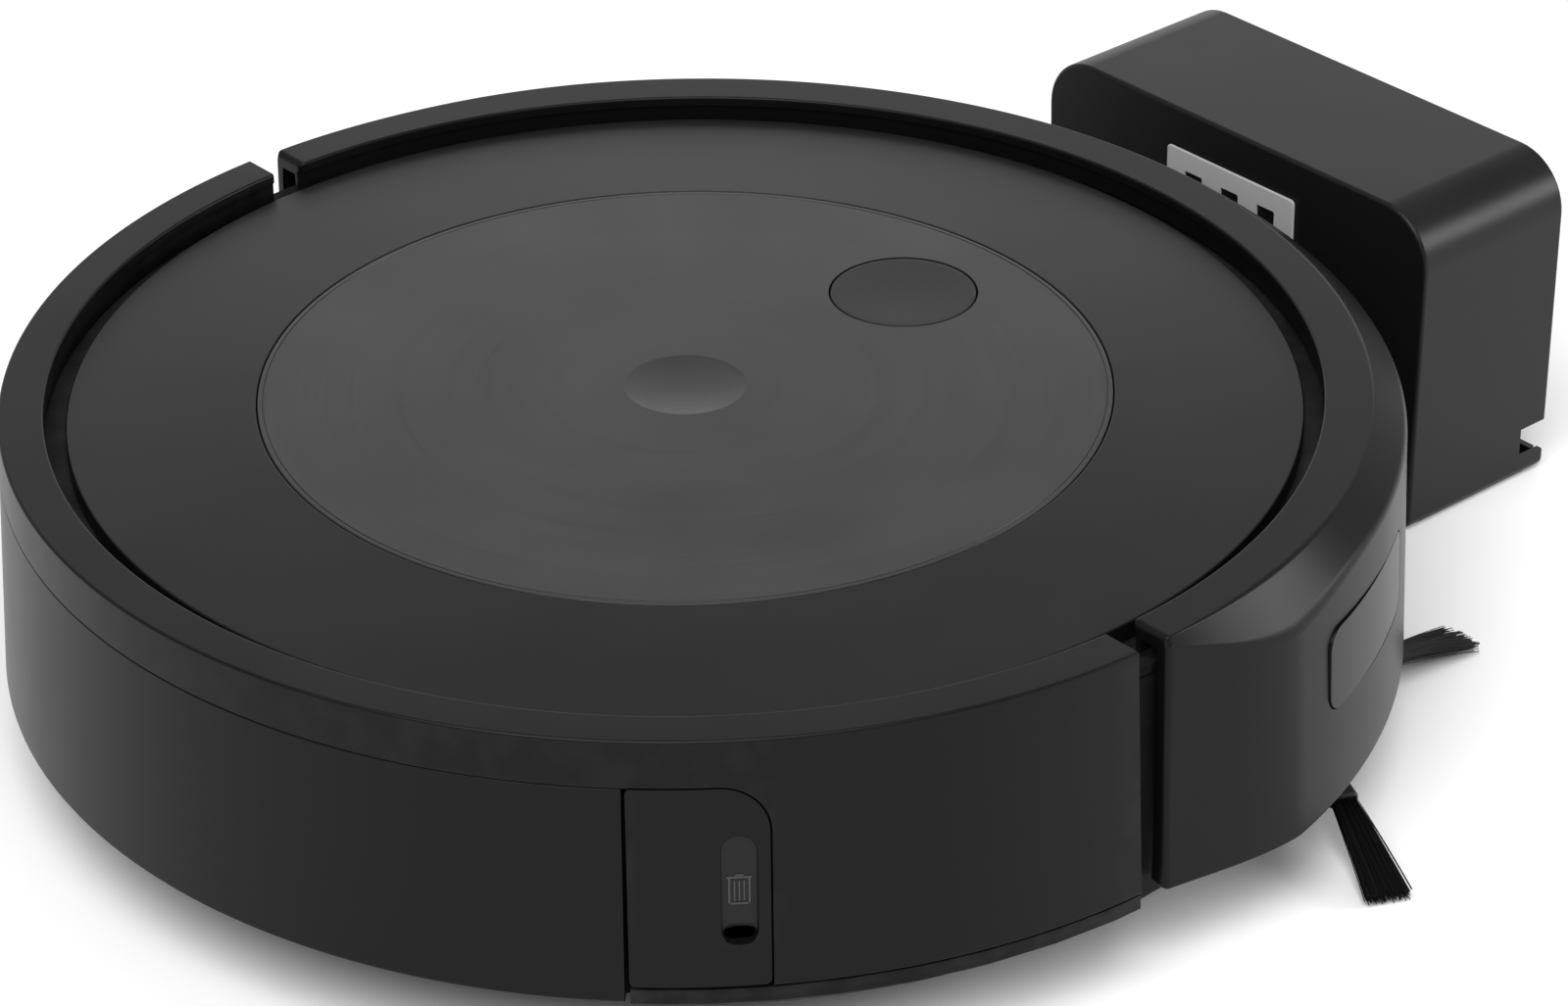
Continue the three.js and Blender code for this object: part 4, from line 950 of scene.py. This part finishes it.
# geometry nodes: what repeats
def geometryTree(name, inputs):
    tree = bpy.data.node_groups.new(name, "GeometryNodeTree")
    tree.interface.new_socket("Geometry", in_out="INPUT", socket_type="NodeSocketGeometry")
    for label, kind, value in inputs + [("Finish", "NodeSocketMaterial", None)]:
        socket = tree.interface.new_socket(label, in_out="INPUT", socket_type=kind)
        if value is not None:
            socket.default_value = value
    tree.interface.new_socket("Geometry", in_out="OUTPUT", socket_type="NodeSocketGeometry")
    return tree, tree.nodes.new("NodeGroupInput").outputs


def closeTree(tree, given, geometry):
    real = add(tree, "GeometryNodeRealizeInstances", {0: geometry})
    done = add(tree, "GeometryNodeSetMaterial", {"Geometry": real.outputs[0], "Material": given["Finish"]})
    result = tree.nodes.new("NodeGroupOutput")
    tree.links.new(done.outputs[0], result.inputs[0])


def grown(name, tree, values, finish, points=()):
    # runs a tree, by its sockets' identifiers, and keeps the result as a plain mesh
    mesh = bpy.data.meshes.new(name)
    mesh.from_pydata([tuple(p) for p in points], [], [])
    obj = bpy.data.objects.new(name, mesh)
    bpy.context.scene.collection.objects.link(obj)
    maker = obj.modifiers.new(name, "NODES")
    maker.node_group = tree
    values = dict(values, Finish=finishes[finish])
    for item in tree.interface.items_tree:
        if item.item_type == "SOCKET" and item.in_out == "INPUT" and item.name in values:
            maker[item.identifier] = values[item.name]
    settle(obj)
    if not obj.data.polygons:
        raise ValueError(name + " came out empty")
    return obj


def bristleTree():
    tree, given = geometryTree("bristleTuft", [
        ("Count", "NodeSocketInt", 260), ("Root Width", "NodeSocketFloat", 6.0),
        ("Root Depth", "NodeSocketFloat", 2.6), ("Length", "NodeSocketFloat", 30.0),
        ("Fan", "NodeSocketFloat", 0.1), ("Drop", "NodeSocketFloat", 7.0),
        ("Hair Radius", "NodeSocketFloat", 0.13), ("Seed", "NodeSocketInt", 3)])
    half = math2(tree, "MULTIPLY", given["Root Width"], 0.5)
    deep = math2(tree, "MULTIPLY", given["Root Depth"], 0.5)
    low = add(tree, "ShaderNodeCombineXYZ", {
        "X": math2(tree, "MULTIPLY", half, -1.0), "Z": math2(tree, "MULTIPLY", deep, -1.0)})
    high = add(tree, "ShaderNodeCombineXYZ", {"X": half, "Z": deep})
    scatter = add(tree, "FunctionNodeRandomValue", {
        0: low.outputs[0], 1: high.outputs[0], "Seed": given["Seed"]}, data_type="FLOAT_VECTOR")
    roots = add(tree, "GeometryNodePoints", {"Count": given["Count"], "Position": scatter.outputs[0]})
    end = add(tree, "ShaderNodeCombineXYZ", {"Y": given["Length"]})
    strand = add(tree, "GeometryNodeCurvePrimitiveLine", {"End": end.outputs[0]})
    fine = add(tree, "GeometryNodeResampleCurve", {"Curve": strand.outputs[0], "Count": 6})
    along = add(tree, "ShaderNodeSeparateXYZ", {0: add(tree, "GeometryNodeInputPosition").outputs[0]})
    share = math2(tree, "DIVIDE", along.outputs["Y"], given["Length"])
    sag = math2(tree, "MULTIPLY", math2(tree, "POWER", share, 1.25),
                math2(tree, "MULTIPLY", given["Drop"], -1.0))
    bent = add(tree, "GeometryNodeSetPosition", {
        "Geometry": fine.outputs[0], "Offset": add(tree, "ShaderNodeCombineXYZ", {"Z": sag}).outputs[0]})
    hairProfile = add(tree, "GeometryNodeCurvePrimitiveCircle",
                      {"Resolution": 4, "Radius": given["Hair Radius"]})
    hair = add(tree, "GeometryNodeCurveToMesh", {
        "Curve": bent.outputs[0], "Profile Curve": hairProfile.outputs[0], "Fill Caps": True})
    root = add(tree, "ShaderNodeSeparateXYZ", {0: add(tree, "GeometryNodeInputPosition").outputs[0]})
    spread = math2(tree, "MULTIPLY", math2(tree, "DIVIDE", root.outputs["X"], half),
                   math2(tree, "MULTIPLY", given["Fan"], -1.0))
    stray = add(tree, "FunctionNodeRandomValue", {
        0: (-0.022, 0.0, -0.03), 1: (0.022, 0.0, 0.03), "Seed": math2(tree, "ADD", given["Seed"], 1.0)},
        data_type="FLOAT_VECTOR")
    fan = add(tree, "ShaderNodeCombineXYZ", {"Z": spread})
    turn = add(tree, "ShaderNodeVectorMath", {0: fan.outputs[0], 1: stray.outputs[0]}, operation="ADD")
    trim = add(tree, "FunctionNodeRandomValue", {
        0: (1.0, 0.955, 1.0), 1: (1.0, 1.0, 1.0), "Seed": math2(tree, "ADD", given["Seed"], 2.0)},
        data_type="FLOAT_VECTOR")
    hairs = add(tree, "GeometryNodeInstanceOnPoints", {
        "Points": roots.outputs[0], "Instance": hair.outputs[0],
        "Rotation": turn.outputs[0], "Scale": trim.outputs[0]})
    closeTree(tree, given, hairs.outputs[0])
    return tree


def treadTree():
    # two rows of slanted lugs round a tyre whose axle runs sideways
    tree, given = geometryTree("tyreTread", [
        ("Lugs", "NodeSocketInt", 34), ("Radius", "NodeSocketFloat", 35.0),
        ("Row Offset", "NodeSocketFloat", 4.3),
        ("Lug Size", "NodeSocketVector", (7.6, 2.6, 2.0)), ("Slant", "NodeSocketFloat", 0.5)])
    rows = []
    for side in (-1, 1):
        index = add(tree, "GeometryNodeInputIndex").outputs[0]
        step = math2(tree, "DIVIDE", 2 * math.pi, given["Lugs"])
        turn = math2(tree, "MULTIPLY", math2(tree, "ADD", index, 0.25 * side), step)
        spotAt = add(tree, "ShaderNodeCombineXYZ", {
            "X": math2(tree, "MULTIPLY", given["Row Offset"], float(side)),
            "Y": math2(tree, "MULTIPLY", math2(tree, "COSINE", turn, 0.0), given["Radius"]),
            "Z": math2(tree, "MULTIPLY", math2(tree, "SINE", turn, 0.0), given["Radius"])})
        points = add(tree, "GeometryNodePoints", {"Count": given["Lugs"], "Position": spotAt.outputs[0]})
        cube = add(tree, "GeometryNodeMeshCube", {"Size": given["Lug Size"]})
        slant = add(tree, "ShaderNodeCombineXYZ",
                    {"Z": math2(tree, "MULTIPLY", given["Slant"], float(side))})
        lug = add(tree, "GeometryNodeTransform", {"Geometry": cube.outputs[0], "Rotation": slant.outputs[0]})
        lean = add(tree, "ShaderNodeCombineXYZ", {"X": math2(tree, "SUBTRACT", turn, math.pi / 2)})
        rows.append(add(tree, "GeometryNodeInstanceOnPoints", {
            "Points": points.outputs[0], "Instance": lug.outputs[0],
            "Rotation": lean.outputs[0]}).outputs[0])
    join = tree.nodes.new("GeometryNodeJoinGeometry")
    for row in rows:
        tree.links.new(row, join.inputs[0])
    closeTree(tree, given, join.outputs[0])
    return tree


def screwTree():
    # a cross-recessed head at every point of the mesh it is given, facing down
    tree, given = geometryTree("screwHeads", [
        ("Head Radius", "NodeSocketFloat", 3.2), ("Head Height", "NodeSocketFloat", 1.1),
        ("Recess", "NodeSocketFloat", 0.8)])
    head = add(tree, "GeometryNodeMeshCylinder", {
        "Vertices": 32, "Radius": given["Head Radius"], "Depth": given["Head Height"]})
    long = math2(tree, "MULTIPLY", given["Head Radius"], 1.15)
    narrow = math2(tree, "MULTIPLY", given["Head Radius"], 0.2)
    bars = []
    for x, y in ((long, narrow), (narrow, long)):
        size = add(tree, "ShaderNodeCombineXYZ", {"X": x, "Y": y, "Z": given["Recess"]})
        bar = add(tree, "GeometryNodeMeshCube", {"Size": size.outputs[0]})
        down = add(tree, "ShaderNodeCombineXYZ", {"Z": math2(tree, "MULTIPLY", given["Head Height"], -0.5)})
        bars.append(add(tree, "GeometryNodeTransform", {
            "Geometry": bar.outputs[0], "Translation": down.outputs[0]}).outputs[0])
    cutBars = add(tree, "GeometryNodeMeshBoolean", operation="UNION", solver="EXACT")
    for bar in bars:
        tree.links.new(bar, cutBars.inputs[1])
    cutHead = add(tree, "GeometryNodeMeshBoolean", {0: head.outputs[0]}, operation="DIFFERENCE",
                  solver="EXACT")
    tree.links.new(cutBars.outputs[0], cutHead.inputs[1])
    heads = add(tree, "GeometryNodeInstanceOnPoints",
                {"Points": given["Geometry"], "Instance": cutHead.outputs[0]})
    closeTree(tree, given, heads.outputs[0])
    return tree


def springTree():
    tree, given = geometryTree("coilSpring", [
        ("Turns", "NodeSocketFloat", 4.0), ("Coil Radius", "NodeSocketFloat", 3.4),
        ("Length", "NodeSocketFloat", 6.4), ("Wire", "NodeSocketFloat", 0.45)])
    coil = add(tree, "GeometryNodeCurveSpiral", {
        "Resolution": 24, "Rotations": given["Turns"], "Start Radius": given["Coil Radius"],
        "End Radius": given["Coil Radius"], "Height": given["Length"]})
    wire = add(tree, "GeometryNodeCurvePrimitiveCircle", {"Resolution": 8, "Radius": given["Wire"]})
    body = add(tree, "GeometryNodeCurveToMesh", {
        "Curve": coil.outputs[0], "Profile Curve": wire.outputs[0], "Fill Caps": True})
    closeTree(tree, given, body.outputs[0])
    return tree


def pleatTree():
    tree, given = geometryTree("filterPleats", [
        ("Pleats", "NodeSocketInt", 24), ("Pitch", "NodeSocketFloat", 2.7),
        ("Pleat Size", "NodeSocketVector", (1.3, 3.2, 34.0))])
    pitch = add(tree, "ShaderNodeCombineXYZ", {"X": given["Pitch"]})
    row = add(tree, "GeometryNodeMeshLine", {"Count": given["Pleats"], "Offset": pitch.outputs[0]})
    cube = add(tree, "GeometryNodeMeshCube", {"Size": given["Pleat Size"]})
    pleats = add(tree, "GeometryNodeInstanceOnPoints",
                 {"Points": row.outputs[0], "Instance": cube.outputs[0]})
    closeTree(tree, given, pleats.outputs[0])
    return tree


# side brush
brush = dict(
    reach=68.4, heading=115.5, holderReach=38, holderZ=8, holder=3.4, armWidth=(9.4, 7.6), hub=10.5,
    tuft={"Count": 300, "Root Width": 5.6, "Root Depth": 2.4, "Fan": 0.075, "Hair Radius": 0.12},
    tipDrop=7.6, overlap=1.5,
)


def makeSideBrush():
    middle = middleOf("side_brush_screw")
    low, high = spot("side_brush_hub")
    foot, thick = brush["holderZ"], brush["holder"]
    hub = turned("sideBrushHub", rounded([
        (0, low.z + 0.9, 0), (4.2, low.z + 0.9, 0), (4.6, low.z, 0.2), (brush["hub"], low.z, 1.2),
        (brush["hub"], foot + thick, 0.8), (4, foot + thick, 0), (4, high.z, 0.4), (0, high.z, 0)]), 96,
        (middle.x, middle.y))
    headings = [brush["heading"] + 120 * i for i in range(3)]
    arms = []
    for heading in headings:
        way = fromNose(1, heading)
        side = Vector((way.y, -way.x))
        rows = []
        ends = brush["armWidth"]
        for along, width, grow in ((5, ends[0], 0), (16, ends[1] - 0.8, 0),
                                   (brush["holderReach"] - 9, ends[1] - 0.6, 0),
                                   (brush["holderReach"] - 7, ends[1], 0.0),
                                   (brush["holderReach"] - 0.5, ends[1], 0.0),
                                   (brush["holderReach"], ends[1] - 0.7, -0.35)):
            corners = roundedBox(width, thick + 2 * grow, 1.1, 0, foot + thick / 2, 4)
            rows.append([(middle.x + way.x * along + side.x * u, middle.y + way.y * along + side.y * u, h)
                         for u, h in corners])
        arms.append(loft("arm", rows))
    combine(hub, "UNION", arms)
    place(hub, "side_brush", "brushRubber", ["side_brush_hub"])
    tree = bristleTree()
    start = brush["holderReach"] - brush["overlap"]
    for i, heading in enumerate(headings):
        values = dict(brush["tuft"], Length=brush["reach"] - start, Drop=brush["tipDrop"], Seed=11 + 7 * i)
        tuft = grown(f"bristleTuft{i + 1}", tree, values, "bristleNylon")
        way = fromNose(start, heading)
        there = Matrix.Translation((middle.x + way.x, middle.y + way.y, foot + thick / 2))
        tuft.data.transform(there @ Matrix.Rotation(-math.radians(heading), 4, "Z"))
        place(tuft, "side_brush", "bristleNylon", [f"bristle_tuft_{i + 1}"], 30, False)


# wheels, rollers and the rest underneath
tyre = dict(
    tread=1.1, shoulder=1.6,
    lugs={"Lugs": 36, "Row Offset": 4.2, "Lug Size": (7.4, 2.9, 2.2), "Slant": 0.55},
)
# a rib's profile is an angle from its middle and a share of the way from core to tip
roller = dict(
    core=9.2, ribs=6, twist=75, steps=72, half=82, axle=2.6,
    profile=[(-24, 0), (-14, 0), (-9, 0.15), (-5.5, 0.85), (-3, 1), (3, 1), (5.5, 0.85), (9, 0.15),
             (14, 0), (24, 0)],
)


def makeWheels():
    tree = treadTree()
    for word in ("left", "right"):
        low, high = spot(f"tyre_{word}")
        middle = (low + high) / 2
        radius, half = (high.z - low.z) / 2, (high.x - low.x) / 2
        bore = (spot(f"wheel_hub_{word}")[1].z - spot(f"wheel_hub_{word}")[0].z) / 2 + 0.5
        body = turnedAcross(f"tyre{word.title()}", rounded([
            (bore, -half, 0.4), (radius - tyre["tread"], -half, tyre["shoulder"]),
            (radius - tyre["tread"], half, tyre["shoulder"]), (bore, half, 0.4)]), middle)
        place(body, f"wheel_{word}", "tyreRubber", [f"tyre_{word}"])
        lugHeight = tyre["lugs"]["Lug Size"][2]
        values = dict(tyre["lugs"], Radius=radius - lugHeight / 2 - 0.15)
        tread = grown(f"tyreTread{word.title()}", tree, values, "tyreRubber")
        tread.data.transform(Matrix.Translation(middle))
        place(tread, f"wheel_{word}", "tyreRubber")
        refine(f"wheel_hub_{word}", "innerBlack", f"wheelHub{word.title()}", 35, 0.4)


def rollerSection(radius, phase):
    # core circle with soft ribs standing out of it
    outline = []
    for i in range(roller["ribs"]):
        base = phase + 360 * i / roller["ribs"]
        for turn, reach in roller["profile"]:
            r = roller["core"] + (radius - roller["core"]) * reach
            outline.append((r * math.cos(math.radians(base + turn)),
                            r * math.sin(math.radians(base + turn))))
    return outline


def makeRollers():
    for word, phase in (("front", 0), ("rear", 30)):
        low, high = spot(f"{word}_roller")
        middle = (low + high) / 2
        radius = (high.z - low.z) / 2
        half = roller["half"]
        rows = []
        for i in range(roller["steps"] + 1):
            x = -half + 2 * half * i / roller["steps"]
            turn = phase + roller["twist"] * abs(x) / half
            rows.append([(middle.x + x, middle.y + u, middle.z + v) for u, v in rollerSection(radius, turn)])
        body = loft(f"{word}Roller", rows)
        reach = (high.x - low.x) / 2
        thin = roller["axle"]
        axle = turnedAcross("axle", [(0, -reach), (thin, -reach), (thin, reach), (0, reach)], middle, 32)
        combine(body, "UNION", [axle])
        place(body, f"{word}_roller", "rollerRubber", [f"{word}_roller"], 40)


def makeFasteners():
    screws = screwTree()
    names = [f"base_screw_{i}" for i in range(1, 5)]
    places = [middleOf(name) for name in names]
    heads = grown("baseScrews", screws, {"Head Radius": 3.1, "Head Height": 1.05, "Recess": 1.1}, "steel",
                  places)
    place(heads, "chassis", "steel", names)
    head = grown("sideBrushScrew", screws, {"Head Radius": 3.5, "Head Height": 1.2, "Recess": 1.2}, "steel",
                 [middleOf("side_brush_screw")])
    place(head, "side_brush", "steel", ["side_brush_screw"])
    coils = springTree()
    for word in ("left", "right"):
        low, high = spot(f"bumper_spring_{word}")
        middle = (low + high) / 2
        heading = math.degrees(math.atan2(middle.x, middle.y))
        coil = grown(f"bumperSpring{word.title()}", coils, {"Length": 6.2}, "steel")
        away = Matrix.Rotation(-math.radians(heading), 4, "Z")
        start = Vector((middle.x, middle.y, middle.z)) - away @ Vector((0, 3.1, 0))
        coil.data.transform(Matrix.Translation(start) @ away @ Matrix.Rotation(-math.pi / 2, 4, "X"))
        place(coil, "chassis", "steel", [f"bumper_spring_{word}"])
    low, high = spot("bin_filter")
    size = high - low
    edge = 2.2
    filterFrame = block("binFilter", (low.x, high.x), (low.y, high.y), (low.z, high.z))
    inside = block("inside", (low.x + edge, high.x - edge), (low.y - 1, high.y + 1),
                   (low.z + edge, high.z - edge))
    combine(filterFrame, "DIFFERENCE", [inside])
    softened(filterFrame, 0.3)
    place(filterFrame, "bin", "innerBlack", ["bin_filter"])
    pitch = 2.6
    count = int((size.x - 2 * edge) / pitch)
    pleats = grown("filterPleats", pleatTree(), {
        "Pleats": count, "Pitch": pitch, "Pleat Size": (1.5, size.y - 0.6, size.z - 2 * edge)},
        "filterMedia")
    span = (count - 1) * pitch / 2
    pleats.data.transform(Matrix.Translation(((low + high) / 2) - Vector((span, 0, 0))))
    place(pleats, "bin", "filterMedia")


# nodes whose shape is right: the finish, the new name and how far their edges are broken
plain = {
    "base_frame": ("innerBlack", "baseFrame", 0), "top_deck": ("innerBlack", "topDeck", 0),
    "head_housing": ("innerBlack", "headHousing", 0.3), "roller_guard": ("innerBlack", "rollerGuard", 0.5),
    "wheel_arm_left": ("innerBlack", "wheelArmLeft", 0),
    "wheel_arm_right": ("innerBlack", "wheelArmRight", 0),
    "caster_fork": ("innerBlack", "casterFork", 0), "caster_wheel": ("casterRubber", "casterWheel", 0.5),
    "caster_axle": ("steel", "casterAxle", 0.2), "battery_door": ("innerBlack", "batteryDoor", 0.4),
    "dock_base": ("innerBlack", "dockBase", 0.4), "dock_inlet": ("windowGloss", "dockInlet", 0.3),
    "latch_pin": ("steel", "latchPin", 0.2), "battery": ("batteryCase", "batteryPack", 0.8),
    "fan_housing": ("innerBlack", "fanHousing", 0), "fan_impeller": ("impellerGrey", "fanImpeller", 0),
    "roller_motor": ("innerBlack", "rollerMotor", 0),
    "side_brush_motor": ("innerBlack", "sideBrushMotor", 0),
    "main_board": ("boardGreen", "mainBoard", 0), "button_board": ("boardGreen", "buttonBoard", 0.2),
    "camera_module": ("innerBlack", "cameraModule", 0.4),
    "charge_contact_left": ("contactMetal", "chargeContactLeft", 0.3),
    "charge_contact_right": ("contactMetal", "chargeContactRight", 0.3),
    "dock_contact_left": ("contactMetal", "dockContactLeft", 0.5),
    "dock_contact_right": ("contactMetal", "dockContactRight", 0.5),
    **{f"cliff_sensor_{i}": ("windowGloss", f"cliffSensor{i}", 0.2) for i in range(1, 5)},
}

makeCamera()
makeStudio()
print("camera and studio set")
makeRearCover()
makeBumper()
makeDustBin()
makeLatch()
makeLid()
print("robot's shell made")
makeDock()
print("dock made")
makeSideBrush()
makeWheels()
makeRollers()
makeFasteners()
for node, (finish, name, bevel) in plain.items():
    refine(node, finish, name, 35, bevel)
print("underside and inner pieces made")
